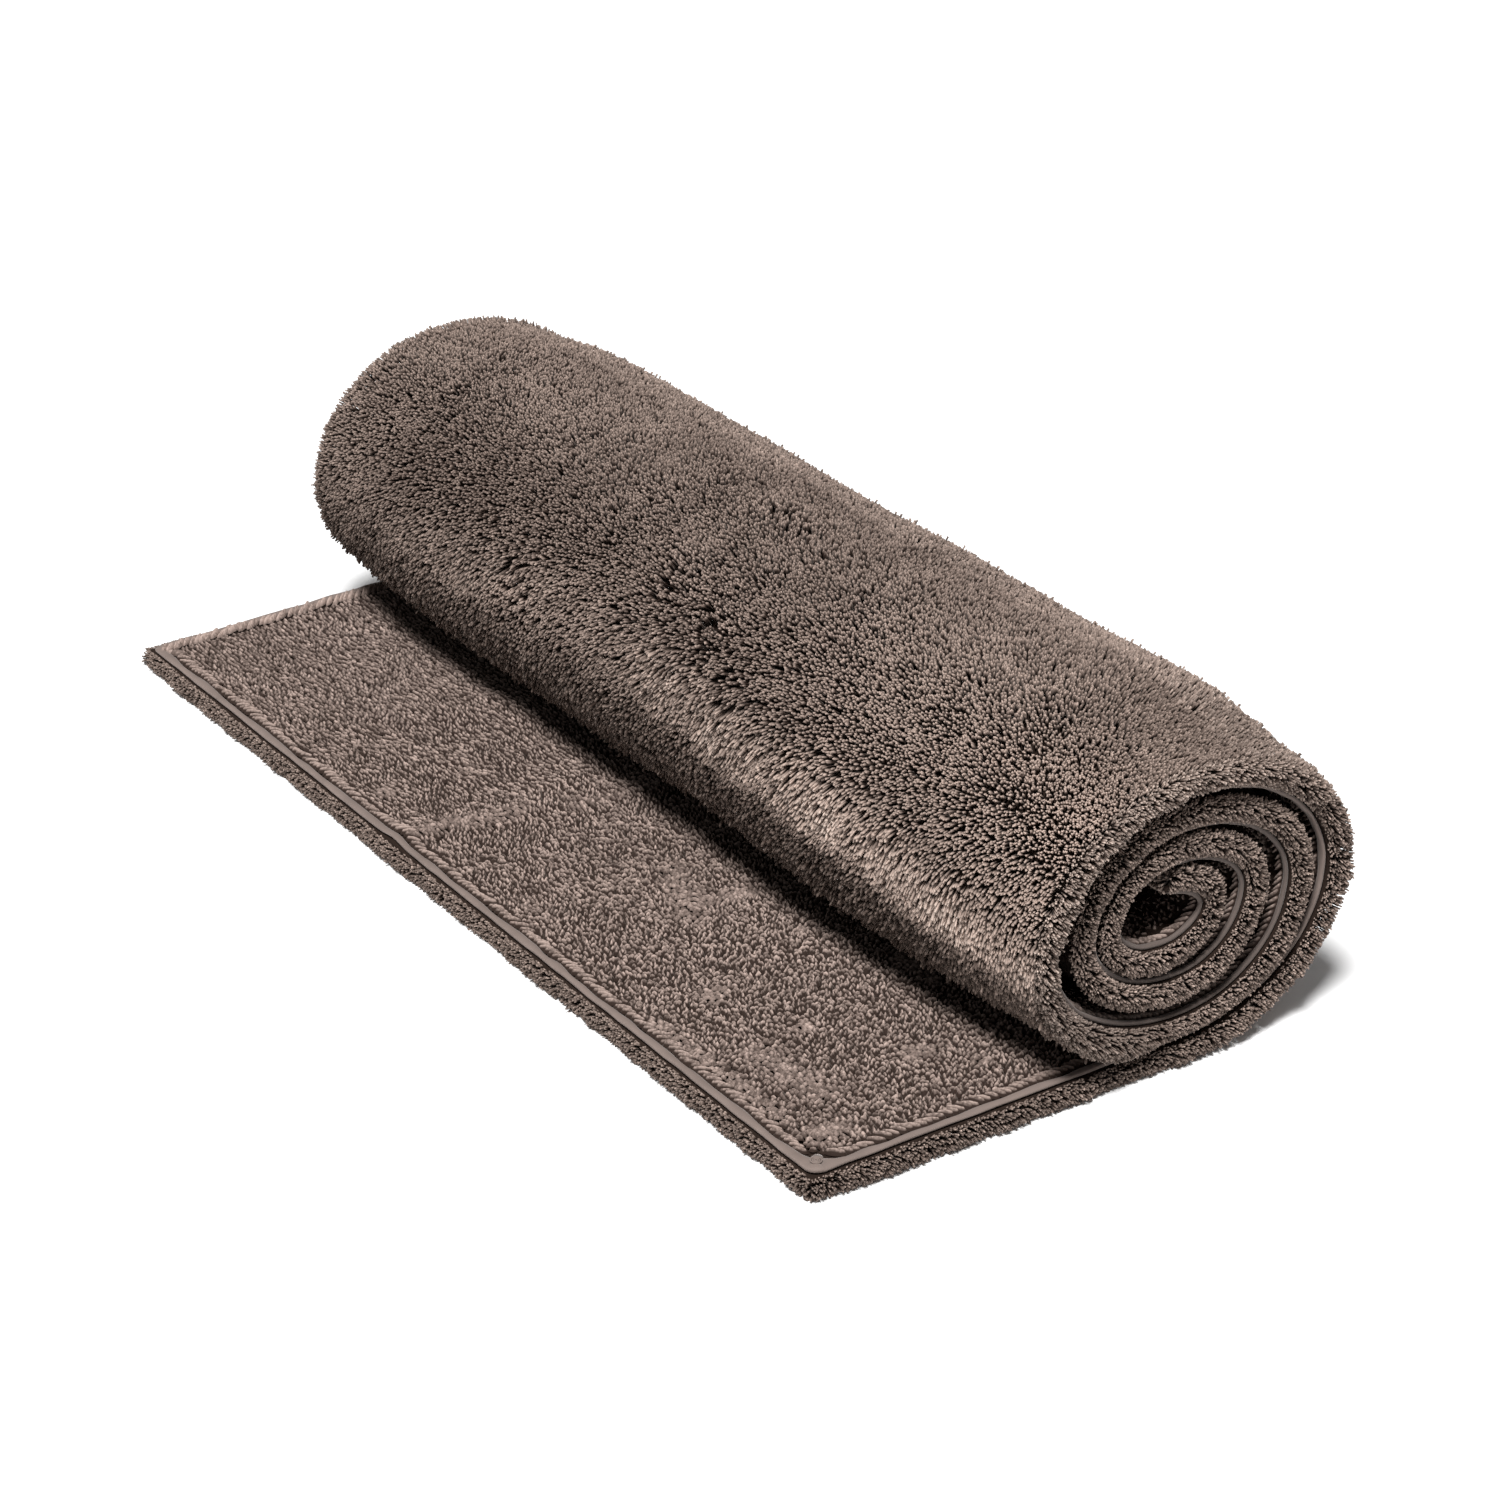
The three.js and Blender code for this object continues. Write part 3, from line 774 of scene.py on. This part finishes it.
# The plush: cut strands of yarn that stand on the base cloth, lean as they were brushed and gather in locks.
plush = {
    "pitch": 0.00155,       # between strands on the half that the camera sees
    "thick": 0.00084,       # half a strand's thickness just below its tip
    "crown": 0.00095,       # from there to the tip
    "crestPitch": 0.00180,  # between them on top, which it sees at a low angle
    "crestThick": 0.00070,
    "backPitch": 0.00250,   # and at the back, which it doesn't see
    "backThick": 0.00105,
    "backBand": 0.022,      # width along both rims in which they stand closer at the back
    "backEdgePitch": 0.00132,
    "backEdgeThick": 0.00098,
    "nearBand": 0.050,      # width along the near rim in which more of them stand on top
    "nearTurns": 0.62,      # turns up to which they do
    "rimPitch": 0.00145,
    "rimThick": 0.00058,
    "root": -0.0008,        # height at which a strand starts
    # Below the share of a strand that shows, it is painted in the shade among its neighbours.
    "shown": 0.17,          # share of a strand that isn't sunk among its neighbours
    "crestShown": 0.15,     # the same on top of the roll
    "nearShown": 0.25,      # towards its near end
    "backShown": 0.40,      # at its back
    "bandShown": 0.60,      # where they lie brushed down
    "rimShown": 0.40,       # at the rims
    "freeEndShown": 0.26,   # and at the rim of the free end
    "lumps": 0.0017,        # height of the uneven plush on the outside of the roll
    "stray": 0.03,          # share of the strands that stand out from the rest
    "strayRise": 0.0016,    # and how far they do
    "locks": (0.0028, 0.0062),  # sizes of the small and large locks that strands gather in
    "gather": (0.12, 0.05),     # share of the way to the middle of each that their tips lean
    "tousled": 0.52,        # how much more they gather in the large ones where the plush is tousled
    "rimBand": 0.007,       # width along the edges whose strands belong to the rims
    "rimArc": 0.0266,       # way from the cut edge round a rim to there
    "rimBend": 0.74,        # share of it that is on the rim's round
    "rimOut": 0.0062,       # how far the round stands out past the cut edge
    "farOut": 0.0022,       # how much further it does at the far end of the roll
    "endShare": 0.72,       # its share at the mat's two ends
    "rimLocks": 0.0042,     # size of the locks at the rims
    "rimGather": 0.30,      # share of the way to their middles that whole strands move
    "rimStart": 0.0008,     # distance from its ends at which a rim's strands start
    "corner": 0.012,        # length along a rim over which the strands turn out towards a corner
    "fall": 0.0075,         # how far the strands of the outer turn lean over its near rim
    "hang": 0.0022,         # how much lower the plush hangs over the flap
    "nearCrest": 0.0030,    # how much higher it stands on top at the near end
    "seen": (0.36, 0.45, 0.59, 0.74, 0.900),    # turns that the camera sees, and where pieces are parted
    "hidden": 0.03,         # turns at which the outside starts, under the roll
}

# Where the plush is tousled, its strands pulled into locks with dark gaps between them, a row for each.
tousles = table(
    "length across toLength toAcross width",
    (0.553, -0.014, 0.557, -0.072, 0.012),
    (0.562, -0.072, 0.560, -0.112, 0.010),
    (0.545, -0.006, 0.546, -0.050, 0.011),
    (0.576, -0.214, 0.578, -0.240, 0.010),
    (0.566, 0.160, 0.577, 0.124, 0.012),
    (0.581, 0.132, 0.588, 0.066, 0.011),
    (0.485, -0.014, 0.492, -0.044, 0.011),
)

# Brush marks on the outside of the roll, as painted sheen: lines along which the plush is painted lighter
# or, below 0, darker.
sheenMarks = table(
    "length across toLength toAcross width lighter",
    (0.500, 0.235, 0.480, 0.140, 0.020, 0.14),
    (0.575, 0.325, 0.545, 0.275, 0.018, 0.12),
    (0.560, 0.270, 0.535, 0.130, 0.022, -0.12),
    (0.610, 0.235, 0.598, 0.185, 0.010, 0.22),
    (0.590, 0.140, 0.592, 0.085, 0.012, 0.25),
    (0.625, 0.200, 0.640, -0.040, 0.010, -0.25),
)

# Where the plush lies brushed down towards the flap and gets painted sheen, in turns and places across: the
# band's middle line.
brushedBand = {
    "across": (-0.345, -0.317, -0.243, -0.173, -0.101, -0.061, -0.021,
               0.021, 0.057, 0.121, 0.171, 0.203, 0.260),
    "turns": (0.752, 0.741, 0.725, 0.714, 0.709, 0.699, 0.696, 0.700, 0.690, 0.694, 0.715, 0.711, 0.700),
    "depth": (0.85, 0.88, 0.88, 0.84, 0.90, 0.80, 0.75, 0.30, 0.25, 0.40, 0.40, 0.35, 0.10),
    "above": 0.040,         # turns over which it sets in above its middle line
    "below": 0.055,         # and ends below it
}

# Below that the plush is painted darker, as painted shade under the band: from which turn on, and how
# much, by places across.
undersideShade = {
    "across": (-0.345, -0.280, -0.220, -0.100, 0.000, 0.150, 0.310, 0.350),
    "turns": (0.744, 0.736, 0.725, 0.728, 0.732, 0.722, 0.735, 0.735),
    "darker": (0.64, 0.70, 0.68, 0.42, 0.10, 0.18, 0.28, 0.62),
    "over": 0.050,          # turns over which it darkens
}


# How much painted shade darkens the plush there: as far as the table says, and not under the roll.
def paintedUnderShade(turns, across):
    start, most = (np.interp(across, undersideShade["across"], undersideShade[key]) for key in ("turns", "darker"))
    return most * rising(turns - start, 0, undersideShade["over"]) * (1 - rising(turns, 0.96, 1.0))


# Which way the strands lean, as parts of their length along the cloth and across it. The parts are drifts
# of three sizes, the pull of their weight, the brushed band, and the way they fall over the near rim.
def leaning(length, across, rng):
    at = lineAt(length)
    turns = at["turns"]
    above, below = brushedBand["above"], brushedBand["below"]
    middle, depth = (np.interp(across, brushedBand["across"], brushedBand[key]) for key in ("turns", "depth"))
    band = depth * within(turns - middle, -above, 0, below * 0.3, below)
    # the band fades where the painted shade below it sets in
    band = band * (0.85 + 0.3 * drift(length, across, 0.016, 61)) * (1 - 1.2 * paintedUnderShade(turns, across))
    weight = -0.22 * at["dz"]
    alongLean = 0.16 * drift(length, across, 0.045, 62) + 0.16 * drift(length, across, 0.012, 63) + weight
    acrossLean = 0.18 * drift(length, across, 0.050, 64) + 0.16 * drift(length, across, 0.013, 65) - 0.10
    alongLean = alongLean * (1 - 0.6 * band) + 0.72 * band
    acrossLean = acrossLean * (1 - 0.5 * band) - between(0.02, 0.30, rising(-across, -0.05, 0.30)) * band
    outer = within(turns, 0.28, 0.42, 0.86, 0.92)
    ending = rising(-across, halfWidth - 0.120, halfWidth - 0.010) * outer
    acrossLean = between(acrossLean, -0.62, 0.85 * ending)
    acrossLean = between(acrossLean, 0.30, rising(across, halfWidth - 0.050, halfWidth - 0.007) * outer)
    alongLean += rng.normal(0, 0.06, len(length))
    acrossLean += rng.normal(0, 0.06, len(length))
    size, most = np.hypot(alongLean, acrossLean), 0.90
    keep = np.minimum(size, most) / np.maximum(size, 1e-9)
    return alongLean * keep, acrossLean * keep, band, ending


# The middle of the lock that each place belongs to: square cells of the cloth with a random point in each.
def lockCentres(length, across, size, seed):
    down, over = 211, 197       # cells, before they repeat
    push = np.random.default_rng(seed).uniform(0.15, 0.85, (2, down, over))
    i, j = np.floor(length / size).astype(int), np.floor(across / size).astype(int)
    best, found = np.full(len(length), np.inf), (length * 0, across * 0)
    for before in (-1, 0, 1):
        for beside in (-1, 0, 1):
            p, q = i + before, j + beside
            a = (p + push[0, p % down, q % over]) * size
            b = (q + push[1, p % down, q % over]) * size
            apart = np.hypot(length - a, across - b)
            near = apart < best
            best = np.where(near, apart, best)
            found = np.where(near, a, found[0]), np.where(near, b, found[1])
    return found


plushEdge = halfWidth - plush["rimBand"]


# Strands from arrays of roots and tips in cloth coordinates, each three-sided. A strand widens from a point
# at its root, and ends blunt, or a crown's height further on in a point. shown is the share of its length
# that isn't sunk among its neighbours; below that it is painted in their shade, and a crowned strand's
# corners are painted darker than its point. The brushed share, 0 to 1, is how much painted sheen lightens it
# where it lies flat.
def strandPiece(name, root, tip, thick, tone, shown, brushedSheen, rng, crown=0.0):
    count = len(thick)
    low, high = place(*root), place(*tip, clear=0.0004)
    run = high - low
    run /= np.linalg.norm(run, axis=1, keepdims=True)
    face = run + rng.normal(0, 0.22, (count, 3))
    first = np.cross(face, np.array([0.31, 0.57, 0.76]))
    first /= np.linalg.norm(first, axis=1, keepdims=True)
    second = np.cross(face, first)
    second /= np.linalg.norm(second, axis=1, keepdims=True)
    angle = rng.uniform(0, 6.28, count)[:, None] + np.arange(3) * 2 * math.pi / 3
    spoke = np.cos(angle)[..., None] * first[:, None] + np.sin(angle)[..., None] * second[:, None]
    ends = (high - run * crown)[:, None] + spoke * thick[:, None, None]
    # reach paints the strand: painted sheen above 1 on a brushed tip, painted shade from its sunk root up
    ended = 1 + 0.6 * brushedSheen
    sunk = ended * (1 - 1 / shown)
    if crown:
        # a crowned strand's corners get painted shade against its point
        edge = ended * between(0.52, 0.90, brushedSheen)
        corners, reach = [ends, low[:, None], high[:, None]], [edge, edge, edge, sunk, ended]
        one = np.array([[0, 1, 4], [1, 2, 4], [2, 0, 4], [1, 0, 3], [2, 1, 3], [0, 2, 3]])
    else:
        corners, reach = [ends, low[:, None]], [ended, ended, ended, sunk]
        one = np.array([[0, 1, 2], [1, 0, 3], [2, 1, 3], [0, 2, 3]])
    points, width = np.concatenate(corners, 1), len(reach)
    triangles = (one[None] + np.arange(count)[:, None, None] * width).reshape(-1, 3)
    numbers = {"reach": np.stack(reach, -1), "tone": tone[:, None] + rng.normal(0, 0.15, (count, width))}
    piece = meshPiece(name, points.reshape(-1, 3), triangles, numbers, len(one))
    return dress(piece, plushCotton)


# The length at which the mat has been wound so many turns.
def lengthAt(turns):
    return float(np.interp(turns, line["turns"], line["reached"])) - lineStart


# Strands in rows over the outside of the roll. Each is as long as the plush is deep, with lumps, drifts and
# a few stray ones. Its tip is set over by its lean and towards the middle of its locks, and is lower where
# it leans. Its tone is a sum of drifts and random steps, the painted sheen of the brush marks and the
# brushed band, painted light over the near half, most on its lower side, painted light and shade where the
# strands fall over the near rim, painted shade on top, a little lighter at the far end, and the painted
# shade below the band.
def outerPlush(name, first, last, pitch, seed, thick, crown=0.0, near=-plushEdge, far=plushEdge):
    rng = np.random.default_rng(seed)
    length, across = rows(lengthAt(first), lengthAt(last), near, far, pitch, rng, 0.45)
    at = lineAt(length)
    turns = at["turns"]
    alongLean, acrossLean, band, ending = leaning(length, across, rng)
    tousled = sum(nearness(length, across, row) for row in tousles)
    tousled = np.minimum(1, tousled) * rising(drift(length, across, 0.012, 74), -0.6, 0.2)
    count = len(length)
    full = at["plush"] + outside(turns) * plush["lumps"] * lump(length, across)
    full = full + plush["nearCrest"] * rising(-across, 0.250, 0.330) * within(turns, 0.20, 0.32, 0.46, 0.60)
    full = full + plush["hang"] * within(turns, 0.74, 0.84, 0.90, 0.96)
    low = rising(turns, 0.70, 0.80)
    full = full * (1 + (0.035 + 0.05 * np.maximum(low, band)) * rng.normal(0, 1, count))
    full = full + (0.0005 + 0.0008 * low) * drift(length, across, 0.008, 71)
    full = full + plush["strayRise"] * (rng.uniform(0, 1, count) < plush["stray"])
    steep = np.sqrt(1 - alongLean ** 2 - acrossLean ** 2)
    height = full * (0.62 + 0.38 * steep)
    longer = 1 + 0.35 * band * rng.uniform(-0.3, 1, count)
    overLength, overAcross = full * alongLean * longer, full * acrossLean * longer
    strength = plush["gather"][0] * (1 - tousled), plush["gather"][1] + plush["tousled"] * tousled
    for size, seedOf, gather in zip(plush["locks"], (72, 75), strength):
        middle = lockCentres(length, across, size, seedOf)
        overLength = overLength + (middle[0] - length) * gather
        overAcross = overAcross + (middle[1] - across) * gather
    height = height * (1 - 0.17 * tousled * rising(drift(length, across, 0.005, 76), -0.2, 0.8))
    tip = length + overLength, across + overAcross, -height
    root = length, across, np.full(count, plush["root"])
    size = thick * (1 + 0.14 * rng.uniform(-1, 1, count))
    tone = 0.38 + 0.10 * drift(length, across, 0.03, 73)
    # painted sheen along the brush marks and in the brushed band
    tone = tone + 0.04 * band + sum(row["lighter"] * nearness(length, across, row) for row in sheenMarks)
    # painted light over the near half, most on its lower side, and a little lighter at the far end
    nearPaintedLight = between(0.10, 0.44, rising(turns, 0.46, 0.60))
    tone = tone + nearPaintedLight * rising(-across, 0.06, 0.24) + 0.08 * rising(across, 0.30, 0.35)
    # painted light and shade where the strands fall over the near rim, painted shade on top, and the painted
    # shade below the band
    endPaintedLight = between(-0.30, 0.14, rising(turns, 0.54, 0.66)) * (1 - rising(turns, 0.69, 0.73))
    tone = tone + ending * endPaintedLight - 0.07 * (1 - rising(turns, 0.44, 0.54)) - paintedUnderShade(turns, across)
    uneven = 0.18 + 0.12 * band + 0.14 * tousled
    tone = np.clip(np.clip(tone, 0, 0.84) + uneven * rng.normal(0, 1, count), 0, 1)
    shown = between(plush["crestShown"], plush["shown"], rising(turns, 0.45, 0.62))
    shown = between(shown, plush["nearShown"], rising(-across, 0.14, 0.28))
    shown = between(plush["backShown"], shown, rising(turns, 0.26, 0.36))
    shown = between(shown, plush["bandShown"], np.maximum(band, 0.9 * ending))
    return strandPiece(name, root, tip, size, tone, shown, np.maximum(0.85 * band, 0.25 * ending), rng, crown)


# The rims by turns: how far they stand out, most where the outer turn falls over its own binding, and how
# much its strands lean over there.
rimReach = {
    "turns": (0.00, 0.20, 0.45, 0.55, 0.70, 0.88, 0.98, 1.10, 3.70),
    "share": (0.90, 1.00, 1.05, 1.20, 1.25, 1.15, 0.85, 0.80, 0.60),
    "falling": (0.0, 0.0, 0.6, 1.0, 1.0, 1.0, 0.0, 0.0, 0.0),
}


# The strands of a rim between two places along it, at a side of the mat or, where atEnd, at one of its
# ends. Their tips lie on the rim's round, half an ellipse as high as the plush, and beyond it on the
# outside of the mat. They start in the middle of the plush, a part of the way in, and fan out at corners.
def rimPlush(name, side, seed, pitch, thick, low, high, atEnd=False):
    walked, arc = rows(low, high, 0, plush["rimArc"], pitch, np.random.default_rng(seed))
    seed, count, turned = seed + 1, len(walked), arc / plush["rimArc"]
    rng = np.random.default_rng(seed)
    towards = lockCentres(walked, arc, plush["rimLocks"], seed + 1)
    walked = walked + (towards[0] - walked) * plush["rimGather"] + rng.normal(0, 0.0003, count)
    turned = np.clip(turned + (towards[1] - arc) * plush["rimGather"] / plush["rimArc"], 0, 1)
    at = lineAt(0 * walked + (clothLength if side > 0 else 0.0) if atEnd else walked)
    turns = at["turns"]
    ragged = 1 + 0.28 * drift(walked, 0 * walked + seed, 0.010, seed) + 0.16 * rng.normal(0, 1, count)
    stands = plush["rimOut"] * ragged * np.interp(turns, rimReach["turns"], rimReach["share"])
    stands = stands * (plush["endShare"] if atEnd else 1) + plush["farOut"] * (side > 0) * outside(turns)
    bend = plush["rimBend"]
    falling = np.interp(turns, rimReach["turns"], rimReach["falling"]) * (side < 0) * (not atEnd)
    angle = between(-1.45, math.pi / 2, np.minimum(1, turned / bend))
    fall = plush["fall"] * falling
    onTop = np.maximum(0, turned - bend) / (1 - bend)
    inset = onTop * plush["rimBand"]
    deep = at["plush"] * (1 + 0.05 * rng.normal(0, 1, count))
    deep = deep + outside(turns) * (inset > 0) * plush["lumps"] * lump(walked, 0 * walked + side * halfWidth)
    wound = rising(turns, 0.30, 0.60)
    out = stands * np.maximum(np.cos(angle), between(0.16 * (angle < 0), 0.30, wound))
    height = 0.0012 - (deep + 0.0012) * (0.5 + 0.5 * np.sin(angle))
    out = out + fall * (0.5 + 0.5 * np.sin(angle)) - inset
    aside = 0.0014 * drift(walked, arc, 0.008, seed + 2) + 0.0005 * rng.normal(0, 1, count)
    ends = (-halfWidth, halfWidth) if atEnd else (0.0, clothLength)
    last, first = (np.clip(1 - gap / plush["corner"], 0, 1) for gap in (ends[1] - walked, walked - ends[0]))
    spread = 0.85 * (last - first) * (out > 0)
    out = out / np.hypot(1, spread)
    aside = aside + spread * out
    onRound = rising(turned, bend + 0.25, bend - 0.05)
    rootOut = between(out - fall, between(-0.0045, out, 0.15), onRound)
    rootHeight = between(-0.3 * deep, between(-0.45 * deep, height, 0.25), onRound)

    def strandEnd(walked, out, height):
        if atEnd:
            return (clothLength if side > 0 else 0.0) + side * out, walked, height
        return walked, side * halfWidth + side * out, height

    root, tip = strandEnd(walked, rootOut, rootHeight), strandEnd(walked + aside, out, height)
    hidden = (turns > 1.05) & (inset > 0.004)
    size = thick * (1 + 0.15 * rng.uniform(-1, 1, count))
    # The free end's rim is painted darker, as painted shade under its tape, and under the band the side rims
    # get the painted shade of the plush there; beyond that their tone varies at random.
    tone = 0.25 - 0.17 * (turns < 0.05) + 0.26 * rng.normal(0, 1, count)
    tone = np.clip(tone - 0.8 * paintedUnderShade(turns, side * halfWidth) * (not atEnd), 0, 1)
    root, tip = ([part[~hidden] for part in end] for end in (root, tip))
    # at the rims less of each strand is painted in shade than on the outside, but more at the free end's rim
    rimShown = np.where(turns < 0.05, plush["freeEndShown"], plush["rimShown"])
    shown = between(plush["shown"], rimShown, np.maximum(onRound, falling))
    # strands falling over the near rim get half the painted sheen of brushed ones
    size, tone, shown, brushedSheen = (part[~hidden] for part in (size, tone, shown, 0.5 * falling))
    return strandPiece(name, root, tip, size, tone, shown, brushedSheen, rng)


crest, top, shoulder, side, under = plush["seen"]
pitch, thick, crown, hidden = plush["pitch"], plush["thick"], plush["crown"], plush["hidden"]
crestPitch, crestThick = plush["crestPitch"], plush["crestThick"]
backPitch, backThick = plush["backPitch"], plush["backThick"]
closePitch, closeThick = plush["backEdgePitch"], plush["backEdgeThick"]
rimPitch, rimThick = plush["rimPitch"], plush["rimThick"]
backEdge, nearEnd = plush["backBand"] - plushEdge, plush["nearBand"] - plushEdge
rimStart, rimEnd, outerEnd = plush["rimStart"], clothLength - 0.003, lengthAt(1.0)
corners = rimStart - halfWidth, halfWidth - rimStart
plushPieces = [
    outerPlush("plush_crest", crest, top, crestPitch, 81, crestThick),
    outerPlush("plush_top", top, shoulder, pitch, 82, thick, crown),
    outerPlush("plush_shoulder", shoulder, side, pitch, 83, thick, crown),
    outerPlush("plush_side", side, under, pitch, 84, thick, crown),
    outerPlush("plush_near_end", crest, plush["nearTurns"], pitch * 1.3, 85, thick, crown, far=nearEnd),
    outerPlush("plush_back", hidden, crest, backPitch, 87, backThick, near=backEdge, far=-backEdge),
    outerPlush("plush_back_near", hidden, crest, closePitch, 88, closeThick, far=backEdge),
    outerPlush("plush_back_far", hidden, crest, closePitch, 89, closeThick, near=-backEdge),
    rimPlush("plush_near_rim", -1.0, 91, rimPitch, rimThick, rimStart, rimEnd),
    rimPlush("plush_far_rim", 1.0, 93, rimPitch * 0.93, rimThick, rimStart, outerEnd),
    rimPlush("plush_far_turns", 1.0, 99, rimPitch * 1.6, rimThick * 1.5, outerEnd, rimEnd),
    rimPlush("plush_free_end", -1.0, 95, rimPitch, rimThick, *corners, atEnd=True),
    rimPlush("plush_core_end", 1.0, 97, rimPitch * 1.6, rimThick * 1.4, *corners, atEnd=True),
]
print("plush made")

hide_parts("mat")

# The floor, the light and the camera.
studio = {
    "floorSize": 40.0,
    "floorColour": (0.92, 0.92, 0.92),
    "skyStrength": 0.18,
    "sunFrom": (-0.34, -0.30, 0.89),
    "sunStrength": 5.2,
    "sunSpread": 16.0,      # degrees across
    "cameraPlace": (-1.0185, -1.5722, 0.9920),
    "cameraTurn": (-34.004, 26.813),     # azimuth and elevation, degrees
    "lens": 91.18,
}


# A square on the floor's level, far larger than the view.
def addFloor():
    half = studio["floorSize"] / 2
    corners = [(-half, -half, 0), (half, -half, 0), (half, half, 0), (-half, half, 0)]
    mesh = bpy.data.meshes.new("floor")
    mesh.from_pydata([Vector(corner) for corner in corners], [], [(0, 1, 2, 3)])
    finish = Finish("floor_paint", Roughness=0.9, Base_Color=studio["floorColour"])
    mesh.materials.append(finish.material)
    floor = bpy.data.objects.new("floor", mesh)
    bpy.context.scene.collection.objects.link(floor)


# One large soft light, far enough away to be even over the whole floor.
def addKeyLight():
    data = bpy.data.lights.new("key", "SUN")
    data.energy, data.angle = studio["sunStrength"], math.radians(studio["sunSpread"])
    light = bpy.data.objects.new("key", data)
    light.rotation_mode = "QUATERNION"
    light.rotation_quaternion = (-Vector(studio["sunFrom"])).to_track_quat("-Z", "Y")
    bpy.context.scene.collection.objects.link(light)


# An even white sky.
def addSky():
    world = bpy.data.worlds.new("studio")
    bpy.context.scene.world = world
    world.use_nodes = True
    background = world.node_tree.nodes["Background"]
    background.inputs["Color"].default_value = (1.0, 1.0, 1.0, 1)
    background.inputs["Strength"].default_value = studio["skyStrength"]


# The camera looks along its azimuth and down by its elevation.
def addCamera():
    data = bpy.data.cameras.new("camera")
    data.lens, data.sensor_width = studio["lens"], 36.0
    data.clip_start, data.clip_end = 0.05, 50.0
    camera = bpy.data.objects.new("camera", data)
    azimuth, elevation = (math.radians(angle) for angle in studio["cameraTurn"])
    level = math.cos(elevation)
    back = Vector((math.sin(azimuth) * level, -math.cos(azimuth) * level, math.sin(elevation)))
    camera.location = studio["cameraPlace"]
    camera.rotation_mode = "QUATERNION"
    camera.rotation_quaternion = (-back).to_track_quat("-Z", "Y")
    bpy.context.scene.collection.objects.link(camera)
    bpy.context.scene.camera = camera


addFloor()
addSky()
addKeyLight()
addCamera()
bpy.context.scene.view_settings.view_transform = "Standard"
